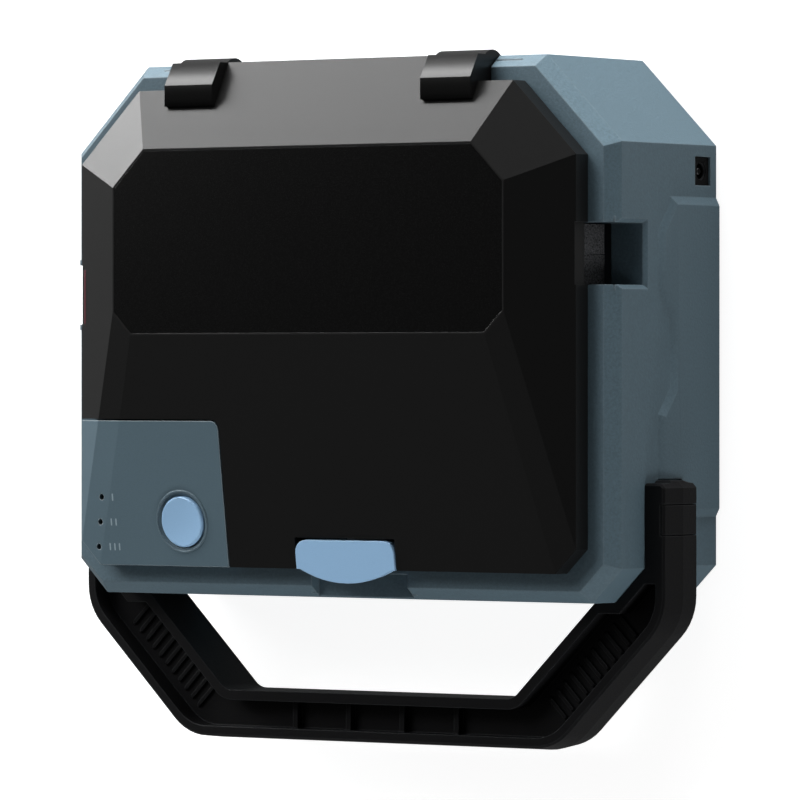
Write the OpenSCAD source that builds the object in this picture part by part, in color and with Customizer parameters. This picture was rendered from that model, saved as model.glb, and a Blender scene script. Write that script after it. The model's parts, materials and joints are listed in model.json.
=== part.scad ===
// Cable label printer with a hinged lid and a carrying handle.
// The printer lies on its back: X runs along the tube path, +Y points to the lid's hinge and +Z to the lid.
// The pieces are drawn round the case's own centre, and on_table() moves them to the frame.

/* [Case] */
// Width of the case across its flat sides
case_w = 232.8; // [216:0.2:250]
// Length of the case from the handle side to the hinge side
case_l = 188.4; // [178:0.2:204]
// Depth of the case from its back to the start of the rim
case_depth = 60; // [57:0.5:70]
// Leg of the two corner cuts on the hinge side
hinge_corner = 30.5; // [26:0.5:33]
// Leg of the two corner cuts on the handle side
handle_corner = 12; // [10:0.5:15]
// Thickness of the case's moulded walls
wall = 2.8; // [2.2:0.1:3.2]
// Height of the bevel that runs round the rim
rim_rise = 5.3; // [4.5:0.1:6]
// Width of the bevel that runs round the rim
rim_bevel = 4.1; // [3.5:0.1:4.6]
// Width of the ledge between the bevel and the lid
ledge_w = 6.2; // [5.5:0.1:7]
// Width of the ledge at the hinge side
hinge_ledge_w = 5.1; // [4.8:0.1:5.6]
// How far the ledge runs on under the lid
ledge_under = 4; // [3.4:0.1:4.4]
// Thickness of the ledge
ledge_t = 3; // [2.5:0.1:3.4]
// How far the raised side panels stand out of the case
side_panel_rise = 1.5; // [1:0.1:1.8]
// Width of the bevel round a raised side panel
side_panel_bevel = 2.8; // [2:0.1:3.1]

/* [Tube path] */
// Width of the two notches that the tube runs through
notch_w = 21.3; // [16:0.1:23]
// Depth of the notches below the start of the rim
notch_depth = 15; // [12:0.5:16]
// Distance of the right notch from the case's centre line
inlet_y = 25.5; // [22:0.5:29]
// Distance of the left notch from the case's centre line
outlet_y = 12.7; // [10:0.5:16]
// Depth of the deck below the start of the rim
deck_drop = 17.5; // [17:0.5:19]
// Thickness of the deck
deck_t = 2.5; // [2:0.1:3]

/* [Lid] */
// Height of the lid's outer edge above the start of the rim
lid_edge_rise = 12.9; // [12:0.1:14]
// Height of the lid's flat window above the start of the rim
lid_rise = 24; // [23:0.1:26]
// Thickness of the lid's moulded walls
lid_wall = 2.2; // [1.8:0.1:2.4]
// Leg of the lid's corner cuts on the hinge side
lid_hinge_corner = 25.8; // [22:0.5:28]
// Leg of the lid's corner cuts on the handle side
lid_handle_corner = 8.4; // [7:0.2:10]
// Width of the long bevels at the lid's left and right
lid_side_bevel = 22.3; // [19:0.1:25]
// Width of the lid's bevel at the hinge side
lid_hinge_bevel = 21.1; // [18:0.1:23]
// Length of the flat window
window_l = 65.9; // [60:0.1:70]
// Leg of the window's corner cuts on the hinge side
window_hinge_corner = 13.5; // [11:0.5:16]
// Leg of the window's corner cuts on the handle side
window_handle_corner = 7.9; // [6:0.1:9]
// Thickness of the window plate
window_t = 1.2; // [0.9:0.1:1.4]

/* [Hinge] */
// Distance of the hinge pins from the case's hinge-side edge
hinge_in = 5.2; // [5:0.1:5.6]
// Depth of the hinge pins below the rim's top
hinge_below = 1.8; // [1.6:0.1:2.2]
// Radius of a hinge pin
hinge_pin_r = 1.25; // [1:0.05:1.3]
// Width of a hinge knuckle
knuckle_w = 20.9; // [18:0.1:23]
// Distance of a knuckle's middle from the centre line
knuckle_x = 55.15; // [50:0.1:58]
// How far a knuckle stands above the start of the rim
knuckle_rise = 17.5; // [17:0.1:18]

/* [Control panel] */
// Distance of the control panel's edge from the centre line
panel_edge_x = 40.7; // [34:0.1:43]
// Distance of the control panel's upper edge from the centre line
panel_edge_y = 32.3; // [28:0.1:36]
// Radius of the control panel's inner corner
panel_corner_r = 3; // [2:0.5:5]
// Gap between the lid and the control panel
panel_gap = 0.6; // [0.4:0.1:0.8]
// Radius of the power button
button_r = 9.1; // [7:0.1:9.5]
// Distance of the power button from the centre line towards the left
button_x = 59.6; // [57:0.1:62]
// Distance of the power button from the centre line towards the handle
button_y = 68.1; // [66:0.1:69]
// How far the power button travels
button_travel = 1; // [0.6:0.1:1.2]
// Radius of an indicator hole
led_r = 1.1; // [0.8:0.1:1.3]
// Distance between the indicators
led_pitch = 8.9; // [8:0.1:9.5]

/* [Latch] */
// Width of the latch tab
latch_w = 42; // [36:0.5:44]
// Distance of the latch tab's middle from the centre line
latch_x = 10.3; // [8:0.1:13]
// Length of the tab from its upper edge to its side ends
latch_l = 10.2; // [9.6:0.1:10.8]
// How far the tab's lip runs on past its side ends
latch_lip = 4.8; // [4:0.1:5.2]
// Thickness of the tab
latch_t = 2.6; // [2.2:0.1:2.8]

/* [Handle] */
// Depth of the handle, seen from the side
handle_depth = 21.4; // [19:0.1:22]
// Distance of the handle below the start of the rim
handle_drop = 13.9; // [13.5:0.1:15]
// Thickness of the handle's arms
arm_t = 7.8; // [7:0.1:9]
// Distance of the arms' ends from the case's centre line
arm_top = 53.1; // [50:0.1:56]
// How far the handle reaches past the case
handle_reach = 51.3; // [45:0.1:58]
// Thickness of the grip bar
grip_t = 16.8; // [14:0.1:19]
// Leg of the handle's outer corner cuts
bow_corner = 45.2; // [41:0.1:49]
// Height of the ridge along the handle's outside
handle_ridge = 0.9; // [0.5:0.1:1.2]

/* [Print unit] */
// Radius of the platen roller and the feed roller
roller_r = 6.5; // [5.5:0.1:7]
// Length of the rollers
roller_l = 17; // [14:0.5:18]
// Radius of the steel roller shafts
shaft_r = 2; // [1.5:0.1:2.4]
// Free height between the rollers for the tube
tube_gap = 4.2; // [3:0.1:5]
// Distance from the platen to the feed roller along the tube
feed_pitch = 38; // [37:0.5:39]
// Module of the gear teeth
gear_module = 1; // [0.9:0.05:1.05]
// Width of the gears
gear_t = 5; // [4:0.5:5.5]
// Radius of the feed motor
motor_r = 15; // [12:0.5:16]
// Length of the feed motor
motor_l = 20; // [16:0.5:21]

/* [Ribbon cassette] */
// Width of the ribbon cassette along the tube
cassette_w = 92; // [84:0.5:96]
// Length of the ribbon cassette across the tube
cassette_l = 54; // [52:0.5:58]
// Height of the ribbon cassette
cassette_h = 16; // [14:0.5:17]
// Distance between the two ribbon spools
spool_pitch = 50; // [46:0.5:54]
// Radius of the wound ribbon on the full spool
ribbon_r = 17; // [12:0.5:18]

/* [Electronics and feet] */
// Height of the rubber feet
foot_h = 2; // [1.5:0.1:3]
// Radius of the rubber feet
foot_r = 8; // [6:0.5:10]
// Thickness of the back cover
cover_t = 2.5; // [2:0.1:3]
// Side of the charging socket's window
jack_side = 10; // [9:0.1:11]
// Radius of the charging socket's hole
jack_hole_r = 3.15; // [2.75:0.05:3.3]
// Radius of a battery cell
cell_r = 9.1; // [8:0.1:9.5]
// Length of a battery cell
cell_l = 65; // [60:0.5:67]

/* [Hidden] */
$fn = 48;

// Overrun of every cut, and the clearances of the fits
eps = 0.2;
seat_gap = 0.3;
run_gap = 0.05;
joint_gap = 0.15;

// Colours
case_blue = "#4C5A62";
lid_black = "#1B1B1D";
tab_blue = "#7B9FBC";
steel = "#B8BCC0";
dark_plastic = "#2A2C2E";

// Heights of the case, from the table up
z_back = foot_h;
z_band = z_back + case_depth;
z_ledge = z_band + rim_rise;
z_deck = z_band - deck_drop;
z_deck_low = z_deck - deck_t;
z_lid_low = z_ledge + seat_gap;
z_lid_edge = z_band + lid_edge_rise;
z_lid_top = z_band + lid_rise;
z_notch = z_band - notch_depth;
half_w = case_w / 2;
half_l = case_l / 2;

// Outlines. An octagon's lower corners lie on the handle side, its upper ones on the hinge side
function octagon(x, low, high, low_corner, high_corner) = [
    [x, low + low_corner], [x, high - high_corner], [x - high_corner, high], [high_corner - x, high],
    [-x, high - high_corner], [-x, low + low_corner], [low_corner - x, low], [x - low_corner, low]];

function unit(v) = v / norm(v);
function left_of(v) = [-v[1], v[0]];
function inset_corner(a, b, c, d) = let (m = left_of(unit(b - a)), n = left_of(unit(c - b)))
    b + d * (m + n) / (1 + m * n);
// Moves every side of a counter-clockwise outline inward by d
function inset(p, d) = let (n = len(p))
    [for (i = [0 : n - 1]) inset_corner(p[(i + n - 1) % n], p[i], p[(i + 1) % n], d)];

// Rounds one corner of an outline with steps + 1 points
function round_corner(a, b, c, r, steps) = let (
    u = unit(a - b), v = unit(c - b), half = acos(u * v) / 2, reach = r / tan(half),
    middle = b + unit(u + v) * r / sin(half), start = b + u * reach - middle,
    turn = (left_of(u) * v > 0 ? -1 : 1) * (180 - 2 * half))
    [for (i = [0 : steps]) let (t = turn * i / steps)
        middle + [start[0] * cos(t) - start[1] * sin(t), start[0] * sin(t) + start[1] * cos(t)]];
function rounded(p, radii, steps = 5) = let (n = len(p))
    [for (i = [0 : n - 1], q = radii[i] > 0
        ? round_corner(p[(i + n - 1) % n], p[i], p[(i + 1) % n], radii[i], steps) : [p[i]]) q];
function arc(middle, r, from, to, steps) =
    [for (i = [0 : steps]) let (t = from + (to - from) * i / steps) middle + r * [cos(t), sin(t)]];

case_outline = octagon(half_w, -half_l, half_l, handle_corner, hinge_corner);
case_inner = inset(case_outline, wall);
ledge_in = rim_bevel + ledge_w + ledge_under;
skirt_t = 2;
deck_outline = inset(case_outline, wall + seat_gap);

lid_x = half_w - rim_bevel - ledge_w;
lid_low = -half_l + rim_bevel + ledge_w;
lid_high = half_l - rim_bevel - hinge_ledge_w;
lid_outline = octagon(lid_x, lid_low, lid_high, lid_handle_corner, lid_hinge_corner);
window_x = lid_x - lid_side_bevel;
window_high = lid_high - lid_hinge_bevel;
window_low = window_high - window_l;
window_outline = octagon(window_x, window_low, window_high, window_handle_corner, window_hinge_corner);
window_rim = 0.8;

// The lid's long lower face slopes from the window down to the handle side
facet_tilt = atan((z_lid_top - z_lid_edge) / (window_low - lid_low));
function facet_z(y) = z_lid_top - (window_low - y) * tan(facet_tilt);
// The bevel at the hinge side
hinge_tilt = atan((z_lid_top - z_lid_edge) / lid_hinge_bevel);
function hinge_bevel_z(y) = z_lid_edge - (y - lid_high) * tan(hinge_tilt);

// Hinge pins
hinge_y = half_l - hinge_in;
hinge_z = z_ledge - hinge_below;
knuckle_in = knuckle_x - knuckle_w / 2;
knuckle_out = knuckle_x + knuckle_w / 2;
rim_cut_x = knuckle_out + seat_gap + joint_gap;
hinge_back_y = half_l + seat_gap;
knuckle_front = 6;
knuckle_start_y = lid_high - knuckle_front;

// Tube path: from the middle of the right notch to the middle of the left one
path_y = (inlet_y + outlet_y) / 2;
path_tilt = atan((inlet_y - outlet_y) / case_w);
z_tube = (z_notch + z_ledge) / 2;
roller_v = roller_r + tube_gap / 2;
roller_foot = 2.5;
z_roller = z_deck + roller_foot;

// Handle
z_arm_top = z_band - handle_drop;
z_arm_low = z_arm_top - handle_depth;
arm_in = half_w + seat_gap;
arm_out = arm_in + arm_t;
bow_low = -half_l - handle_reach;
handle_screw_l = 12.6;
handle_screw_y = -arm_top - handle_screw_l;
handle_screw_r = 2;

// Raised panels: places along the case and depths below the rim, as shares of the case's size
side_y_shares = [0.484, 0.357, 0.142, 0.033, -0.219, -0.312, -0.693];
side_depth_shares = [0.528, 0.375, 0.503];
top_panel_share = 0.567;
top_panel_rise = 1;
panel_foot = 3.2;

// The whole object's bounding box is centred on the frame's origin
frame_y = (handle_reach - top_panel_rise) / 2;

// Screw posts, deck bosses and their screws
post_r = 4;
post_sink = 0.4;
post_in = wall + post_r - post_sink;
post_x_share = 0.8;
boss_r = 3;
boss_h = 12;
screw_r = 1.25;
screw_head_r = 2.6;
screw_head_h = 1.8;
post_y_shares = [-0.32, 0.4];
post_places = concat(
    [for (s = [-1, 1], y = post_y_shares) [s * (half_w - post_in), y * half_l]],
    [for (s = [-1, 1]) [s * half_w * post_x_share, -half_l + post_in]],
    [for (s = [-1, 1]) [s * knuckle_x, half_l - post_in]]);
boss_places = concat(
    [for (s = [-1, 1], y = [-0.5, 0.55]) [s * (half_w - ledge_in + boss_r), y * half_l]],
    [for (s = [-1, 1]) [s * knuckle_in, -half_l + ledge_in - boss_r]]);

// Gears: counts of teeth, places in the tube's frame and turns that put them in mesh
pinion_teeth = 16;
idler_teeth = 20;
roller_teeth = 28;
ribbon_teeth = 40;
spool_teeth = 24;
pressure_angle = 20;
backlash = 0.12;
gear_gap = 1.5;
z_gear = z_deck_low - gear_gap - gear_t;
plate_t = 1.5;
z_plate = z_gear - gear_gap - plate_t;
function pitch_r(teeth) = gear_module * teeth / 2;
// Point at distance ra from a and rb from b, on the left (side 1) or right (side -1) of the way from a to b
function meeting(a, ra, b, rb, side) = let (
    d = norm(b - a), u = unit(b - a), t = (ra * ra - rb * rb + d * d) / (2 * d))
    a + u * t + left_of(u) * side * sqrt(ra * ra - t * t);
function mesh_turn(turn, teeth, at, next_teeth, next_at) = let (
    line = atan2(next_at[1] - at[1], next_at[0] - at[0]))
    line + 180 + ((line - turn) * teeth / 360 - 0.5) * 360 / next_teeth;

cassette_gap = 20;
cassette_u = 16;
cassette_v = -cassette_gap - cassette_l / 2;
spool_edge = 3;
spool_v = -cassette_gap - cassette_l + ribbon_r + spool_edge;
platen_at = [0, roller_v];
feed_at = [feed_pitch, roller_v];
idler_reach = pitch_r(roller_teeth) + pitch_r(idler_teeth);
feed_idler_at = meeting(platen_at, idler_reach, feed_at, idler_reach, 1);
pinion_at = feed_idler_at + [0, pitch_r(idler_teeth) + pitch_r(pinion_teeth)];
take_up_at = [cassette_u - spool_pitch / 2, spool_v];
supply_at = [cassette_u + spool_pitch / 2, spool_v];
ribbon_idler_at = meeting(platen_at, pitch_r(roller_teeth) + pitch_r(ribbon_teeth),
    take_up_at, pitch_r(ribbon_teeth) + pitch_r(spool_teeth), -1);
feed_idler_turn = mesh_turn(0, roller_teeth, platen_at, idler_teeth, feed_idler_at);
feed_gear_turn = mesh_turn(feed_idler_turn, idler_teeth, feed_idler_at, roller_teeth, feed_at);
pinion_turn = mesh_turn(feed_idler_turn, idler_teeth, feed_idler_at, pinion_teeth, pinion_at);
ribbon_idler_turn = mesh_turn(0, roller_teeth, platen_at, ribbon_teeth, ribbon_idler_at);
take_up_turn = mesh_turn(ribbon_idler_turn, ribbon_teeth, ribbon_idler_at, spool_teeth, take_up_at);

module on_table() {
    translate([0, frame_y, 0]) children();
}

module on_path() {
    translate([0, path_y, 0]) rotate([0, 0, path_tilt]) children();
}

module both_sides() {
    children();
    mirror([1, 0, 0]) children();
}

module rod(r, from, to) {
    translate([0, 0, from]) cylinder(r = r, h = to - from);
}

// A rod that stands at a place
module post(at, r, from, to) {
    translate([at[0], at[1], from]) cylinder(r = r, h = to - from);
}

// A rod along X
module cross_rod(r, from, to, y, z) {
    translate([from, y, z]) rotate([0, 90, 0]) cylinder(r = r, h = to - from);
}

module box(low, high) {
    translate(low) cube(high - low);
}

module slab(outline, from, to) {
    translate([0, 0, from]) linear_extrude(to - from) polygon(outline);
}

module ring_wall(outline, from, to, out, in) {
    translate([0, 0, from]) linear_extrude(to - from) difference() {
        polygon(inset(outline, out));
        polygon(inset(outline, in));
    }
}

// Solid through a row of outlines with as many points each, [outline, height] from the bottom up
module stack(rings) {
    n = len(rings[0][0]);
    last = len(rings) - 1;
    polyhedron(
        points = [for (ring = rings, p = ring[0]) [p[0], p[1], ring[1]]],
        faces = concat(
            [[for (i = [0 : n - 1]) i], [for (i = [n - 1 : -1 : 0]) last * n + i]],
            [for (k = [0 : last - 1], i = [0 : n - 1])
                [k * n + i, (k + 1) * n + i, (k + 1) * n + (i + 1) % n, k * n + (i + 1) % n]]));
}

// Turns a shape drawn in Y and Z, and raised along X, into its place
module facing_x() {
    rotate([90, 0, 90]) children();
}

function rectangle(x0, y0, x1, y1) = [[x0, y0], [x1, y0], [x1, y1], [x0, y1]];

// A raised side panel is the sum of a low field and the two pads that rise from it
panel_low = z_back + panel_foot;
side_panels = let (y = side_y_shares * half_l, z = [for (s = side_depth_shares) z_band - s * case_depth],
    run = (panel_low - z[1]) / (z[2] - z[1])) [
    rectangle(y[6], panel_low, y[0], z[2]),
    [[y[2] + (y[3] - y[2]) * run, panel_low], [y[0], panel_low], [y[0], z[0]], [y[1], z[1]], [y[2], z[1]]],
    [[y[6], panel_low], [y[5] + (y[4] - y[5]) * run, panel_low], [y[5], z[1]], [y[6], z[1]]]];
top_panel = let (x = top_panel_share * half_w, z = z_band - side_depth_shares[1] * case_depth,
    cut = side_panel_bevel * 2)
    [[-x, panel_low], [x, panel_low], [x, z - cut], [x - cut, z], [cut - x, z], [-x, z - cut]];

module raised_panel(outline, rise, at) {
    stack([[inset(outline, -side_panel_bevel), at - rise], [inset(outline, side_panel_bevel), at + rise]]);
}

// Parts of the case, drawn as solids that the case's own cuts then open
notch_wall = 2;
notch_bevel = 1.4;
trough_t = 2;
lip_sweep_r = 7.4;
knuckle_sweep_r = 10.8;
pin_hold = 11;
ear_w = 6;
ear_r = 3.2;
ear_stem_low_share = 0.9;
ear_stem_high_share = 0.4;
ear_in = knuckle_in - seat_gap - ear_w;
recess_w = 41;
recess_floor = 0.7;
recess_in = 8.8;
hook_w = 11;
hook_gap = 0.8;
hook_slot_in = 10.2;
hook_slot_low = 8;
screw_boss_r = 4.1;
screw_boss_l = 9;

module case_outside() {
    stack([[case_outline, z_back], [case_outline, z_band], [inset(case_outline, rim_bevel), z_ledge]]);
}

module case_hollow() {
    top_in = wall + rim_bevel * (rim_rise - ledge_t) / rim_rise;
    stack([[case_inner, z_back - eps], [case_inner, z_band],
        [inset(case_outline, top_in), z_ledge - ledge_t]]);
}

module notch_block(y) {
    box([half_w - ledge_in, y - notch_w / 2 - notch_wall, z_notch - notch_wall],
        [half_w - wall / 2, y + notch_w / 2 + notch_wall, z_ledge - ledge_t + eps]);
}

module notch_cut(y) {
    w = notch_w / 2;
    box([half_w - ledge_in - notch_wall, y - w, z_notch], [half_w + eps, y + w, z_ledge + eps]);
    facing_x() stack([
        [rectangle(y - w, z_notch, y + w, z_ledge + notch_bevel), half_w - notch_bevel],
        [rectangle(y - w - notch_bevel, z_notch - notch_bevel, y + w + notch_bevel, z_ledge + notch_bevel),
            half_w]]);
}

module hinge_trough() {
    x = rim_cut_x + pin_hold;
    intersection() {
        union() {
            cross_rod(knuckle_sweep_r + trough_t, -x, x, hinge_y, hinge_z);
            box([-x, hinge_y - knuckle_sweep_r - trough_t, hinge_z - ear_r - trough_t],
                [x, hinge_y, z_ledge]);
        }
        slab(inset(case_outline, wall / 2), z_deck, z_ledge - ledge_t + eps);
    }
}

module hinge_sweep(r, from, to) {
    cross_rod(r, from, to, hinge_y, hinge_z);
    box([from, hinge_y - r, hinge_z], [to, half_l + eps, z_ledge + eps]);
}

module hinge_ear() {
    cross_rod(ear_r, ear_in, ear_in + ear_w, hinge_y, hinge_z);
    box([ear_in, hinge_y - ear_r * ear_stem_low_share, hinge_z - lip_sweep_r - trough_t / 2],
        [ear_in + ear_w, hinge_y + ear_r * ear_stem_high_share, hinge_z]);
}

module latch_recess_block() {
    box([latch_x - recess_w / 2 - notch_wall, -half_l + wall / 2, z_band + recess_floor - notch_wall],
        [latch_x + recess_w / 2 + notch_wall, -half_l + ledge_in, z_ledge - ledge_t + eps]);
}

module latch_recess_cut() {
    box([latch_x - recess_w / 2, -half_l - eps, z_band + recess_floor],
        [latch_x + recess_w / 2, -half_l + recess_in, z_ledge + eps]);
    box([latch_x - hook_w / 2 - hook_gap, -half_l + hook_slot_in, z_band - hook_slot_low],
        [latch_x + hook_w / 2 + hook_gap, -half_l + ledge_in + eps, z_ledge + eps]);
}

module hinge_ears() {
    difference() {
        both_sides() hinge_ear();
        both_sides() cross_rod(hinge_pin_r + run_gap, ear_in - eps, knuckle_in, hinge_y, hinge_z);
    }
}

module case_body() {
    difference() {
        union() {
            difference() {
                case_outside();
                case_hollow();
                slab(inset(case_outline, ledge_in), z_band - eps, z_ledge + eps);
            }
            ring_wall(case_outline, z_deck, z_ledge - ledge_t + eps, ledge_in - skirt_t, ledge_in);
            both_sides() difference() {
                facing_x() for (panel = side_panels) raised_panel(panel, side_panel_rise, half_w);
                box([half_w - wall, -half_l, z_arm_low - seat_gap],
                    [half_w + arm_t, -arm_top + handle_ridge + seat_gap, z_arm_top + seat_gap]);
            }
            rotate([90, 0, 180]) raised_panel(top_panel, top_panel_rise, half_l);
            notch_block(inlet_y);
            mirror([1, 0, 0]) notch_block(outlet_y);
            hinge_trough();
            latch_recess_block();
            both_sides() cross_rod(screw_boss_r, half_w - wall - screw_boss_l, half_w - wall / 2,
                handle_screw_y, (z_arm_low + z_arm_top) / 2);
            for (at = post_places) post(at, post_r, z_back + cover_t, z_deck_low);
            for (at = boss_places) post(at, boss_r, z_deck, z_deck + boss_h);
        }
        notch_cut(inlet_y);
        mirror([1, 0, 0]) notch_cut(outlet_y);
        hinge_sweep(lip_sweep_r, -rim_cut_x, rim_cut_x);
        both_sides() hinge_sweep(knuckle_sweep_r, knuckle_in - seat_gap / 2, rim_cut_x);
        both_sides() cross_rod(hinge_pin_r + run_gap, rim_cut_x - eps, rim_cut_x + pin_hold - wall,
            hinge_y, hinge_z);
        latch_recess_cut();
        box([half_w - wall - eps, jack_y - jack_side / 2, jack_z - jack_side / 2],
            [half_w + side_panel_rise, jack_y + jack_side / 2, jack_z + jack_side / 2]);
        both_sides() cross_rod(handle_screw_r + run_gap, half_w - wall - screw_boss_l - eps,
            half_w + side_panel_rise + eps, handle_screw_y, (z_arm_low + z_arm_top) / 2);
        for (at = post_places) post(at, screw_r + run_gap, z_back, z_back + cover_t + boss_h);
        for (at = boss_places) post(at, screw_r + run_gap, z_deck - eps, z_deck + boss_h - wall);
    }
}

module main_housing() {
    color(case_blue) union() {
        case_body();
        hinge_ears();
    }
}

cover_outline = inset(case_outline, wall + seat_gap);
cover_rib_h = 3;
cover_rib_t = 1.6;
board_post_h = 4.5;
cradle_h = 9;
foot_in = 22;
foot_plug_r = 3;

// Places of the four feet
foot_places = [for (x = [-1, 1], y = [-1, 1]) [x * (half_w - foot_in - hinge_corner / 2),
    y * (half_l - foot_in)]];

// Main board and battery, under the deck
board_w = half_w * 0.82;
board_l = half_l * 0.83;
board_t = 1.6;
board_x = -half_w * 0.43;
board_y = -half_l * 0.02;
z_board = z_back + cover_t + board_post_h;
battery_space = 12;
battery_y = -half_l + wall + battery_space + 2 * cell_r;
battery_gap = 0.4;
z_cell = z_back + cover_t + cover_rib_h + cell_r;
cell_y = cell_r + battery_gap;

// Charging socket
jack_y = half_l * 0.581;
jack_z = z_back + case_depth * 0.145;
jack_l = 14;
jack_set_in = 0.8;
jack_pin_r = 1;
jack_bore_l = 10;

module back_cover() {
    color(case_blue) difference() {
        union() {
            slab(cover_outline, z_back, z_back + cover_t);
            for (x = [-1, 1]) box(
                [x * (cell_l + battery_gap + cover_rib_t) - cover_rib_t / 2, battery_y - 2 * cell_r,
                    z_back + cover_t],
                [x * (cell_l + battery_gap + cover_rib_t) + cover_rib_t / 2, battery_y + 2 * cell_r,
                    z_back + cover_t + cradle_h]);
            for (y = [-1, 0, 1]) box([-cell_l, battery_y + y * cell_r - cover_rib_t / 2, z_back + cover_t],
                [cell_l, battery_y + y * cell_r + cover_rib_t / 2, z_back + cover_t + cover_rib_h]);
            for (x = [-1, 1], y = [-1, 1]) translate([board_x + x * (board_w / 2 - boss_r),
                board_y + y * (board_l / 2 - boss_r), 0]) rod(boss_r, z_back + cover_t, z_board);
            box([half_w - wall - jack_l - jack_side / 2, jack_y - jack_side / 2, z_back + cover_t],
                [half_w - wall - seat_gap, jack_y + jack_side / 2, jack_z - jack_side / 2 + joint_gap]);
        }
        for (at = post_places) translate([at[0], at[1], 0]) {
            rod(screw_r + joint_gap, z_back - eps, z_back + cover_t + eps);
            rod(screw_head_r + joint_gap, z_back - eps, z_back + screw_head_h + joint_gap);
        }
        for (at = foot_places) post(at, foot_plug_r + run_gap, z_back - eps, z_back + cover_t + eps);
        for (x = [-1, 1], y = [-1, 1]) translate([board_x + x * (board_w / 2 - boss_r),
            board_y + y * (board_l / 2 - boss_r), 0]) rod(screw_r, z_board - board_post_h / 2,
                z_board + eps);
    }
}

module rubber_feet() {
    color(dark_plastic) for (at = foot_places) translate([at[0], at[1], 0]) {
        rotate_extrude() polygon([[0, 0], [foot_r * 0.85, 0], [foot_r, foot_h / 2], [foot_r, foot_h],
            [0, foot_h]]);
        rod(foot_plug_r, foot_h - eps, z_back + cover_t + screw_head_h / 2);
    }
}

// A screw that points up, with its head's face at height z
module screw_up(z, length, head_r = screw_head_r) {
    difference() {
        union() {
            rod(head_r, z, z + screw_head_h);
            rod(screw_r, z + screw_head_h - eps, z + length);
        }
        translate([0, 0, z - eps]) cylinder(r = screw_r, h = screw_head_h / 2 + eps, $fn = 6);
    }
}

module back_screws() {
    color(steel) for (at = post_places) translate([at[0], at[1], 0])
        screw_up(z_back, cover_t + boss_h - wall / 2);
}

module deck_screws() {
    color(steel) for (at = boss_places) translate([at[0], at[1], 0])
        screw_up(z_deck_low - screw_head_h, screw_head_h + deck_t + boss_h / 2);
}

deck_hub_r = 6;
deck_hub_h = 1.4;
deck_rib_h = 3;
bay_wall_t = 1.6;
bay_gap = 0.8;
cable_hole_r = 5;

module deck_plate() {
    color(dark_plastic) difference() {
        union() {
            slab(deck_outline, z_deck_low, z_deck);
            on_path() {
                for (at = [platen_at, feed_at]) post(at, deck_hub_r, z_deck - eps, z_deck + deck_hub_h);
                ring_wall(rectangle(cassette_u - cassette_w / 2, cassette_v - cassette_l / 2,
                    cassette_u + cassette_w / 2, cassette_v + cassette_l / 2),
                    z_deck - eps, z_deck + deck_rib_h, -bay_gap - bay_wall_t, -bay_gap);
                for (v = [roller_v + pitch_r(roller_teeth), roller_v + 2 * pitch_r(roller_teeth)])
                    box([-feed_pitch, v, z_deck - eps], [2 * feed_pitch, v + bay_wall_t,
                        z_deck + deck_rib_h]);
            }
        }
        for (at = boss_places) post(at, screw_r + joint_gap, z_deck_low - eps, z_deck + eps);
        on_path() {
            for (at = [platen_at, feed_at]) post(at, shaft_r + run_gap, z_deck_low - eps,
                z_deck + deck_hub_h + eps);
            post(take_up_at, spindle_r + run_gap, z_deck_low - eps, z_deck + eps);
            post(lever_at, shaft_r + run_gap, z_deck_low - eps, z_deck + eps);
            post(supply_at, shaft_r + run_gap, z_deck_low - eps, z_deck + eps);
        }
        translate([-panel_edge_x - cable_hole_r * 3, -half_l / 2, 0])
            rod(cable_hole_r, z_deck_low - eps, z_deck + eps);
    }
}

lid_edge_drop_share = 0.62;
lid_window_in_share = 0.24;

// The lid's outer form, or the form that lies d inside it, from height from up
module lid_form(d, from) {
    hull() {
        slab(inset(lid_outline, d), from, z_lid_edge - d * lid_edge_drop_share);
        slab(inset(window_outline, d * lid_window_in_share), z_lid_edge - d, z_lid_top - d);
    }
}

panel_far = case_w;
panel_steps = 6;
// Plan of the control panel's corner of the case, grown by d
function panel_region(d) = let (x = -panel_edge_x + d, y = -panel_edge_y + d)
    rounded([[-panel_far, -panel_far], [x, -panel_far], [x, y], [-panel_far, y]],
        [0, 0, panel_corner_r + d, 0], panel_steps);

button_rim = 1.4;
button_gap = 0.25;
button_skirt = 4;
button_flange = 1.1;
button_flange_t = 1;
button_dome = 0.9;
led_x_shares = [0.8955, 0.909, 0.923];
led_row_low = 0.45;
led_places = [for (i = [0 : 2]) [-lid_x * led_x_shares[i], -button_y + (1 - i) * led_pitch - led_row_low]];
panel_board_drop = 2.2;
z_panel_board = z_ledge - panel_board_drop;

module on_facet(x, y) {
    translate([x, y, facet_z(y)]) rotate([facet_tilt, 0, 0]) children();
}

module control_panel() {
    inside = inset(case_outline, ledge_in + seat_gap);
    color(case_blue) difference() {
        union() {
            intersection() {
                lid_form(0, z_ledge);
                slab(panel_region(0), z_ledge, z_lid_top);
            }
            intersection() {
                slab(inside, z_deck, z_ledge + eps);
                slab(panel_region(0), z_deck, z_ledge + eps);
            }
        }
        intersection() {
            lid_form(lid_wall, z_deck);
            slab(panel_region(-lid_wall), z_deck - eps, z_lid_top);
        }
        slab(panel_region(-lid_wall), z_deck - eps, z_ledge);
        on_facet(-button_x, -button_y) {
            rod(button_r + button_gap, -button_skirt - lid_wall, lid_wall);
            rotate_extrude() polygon([[0, -button_rim / 2], [button_r + button_gap, -button_rim / 2],
                [button_r + button_gap + button_rim, eps], [0, eps]]);
        }
        for (at = led_places) post(at, led_r, z_ledge, z_lid_top);
    }
    color(case_blue) intersection() {
        for (at = panel_post_places) post(at, panel_post_r, z_panel_board + board_t, z_lid_top);
        lid_form(lid_wall / 2, z_deck);
    }
}

panel_post_r = 2.2;
panel_post_places = [[-button_x + button_r * 1.5, -button_y + button_r * 2.6],
    [-lid_x * 0.84, -button_y + button_r * 2.6],
    [-button_x - button_r * 1.9, -button_y - button_r * 0.7]];

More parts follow.
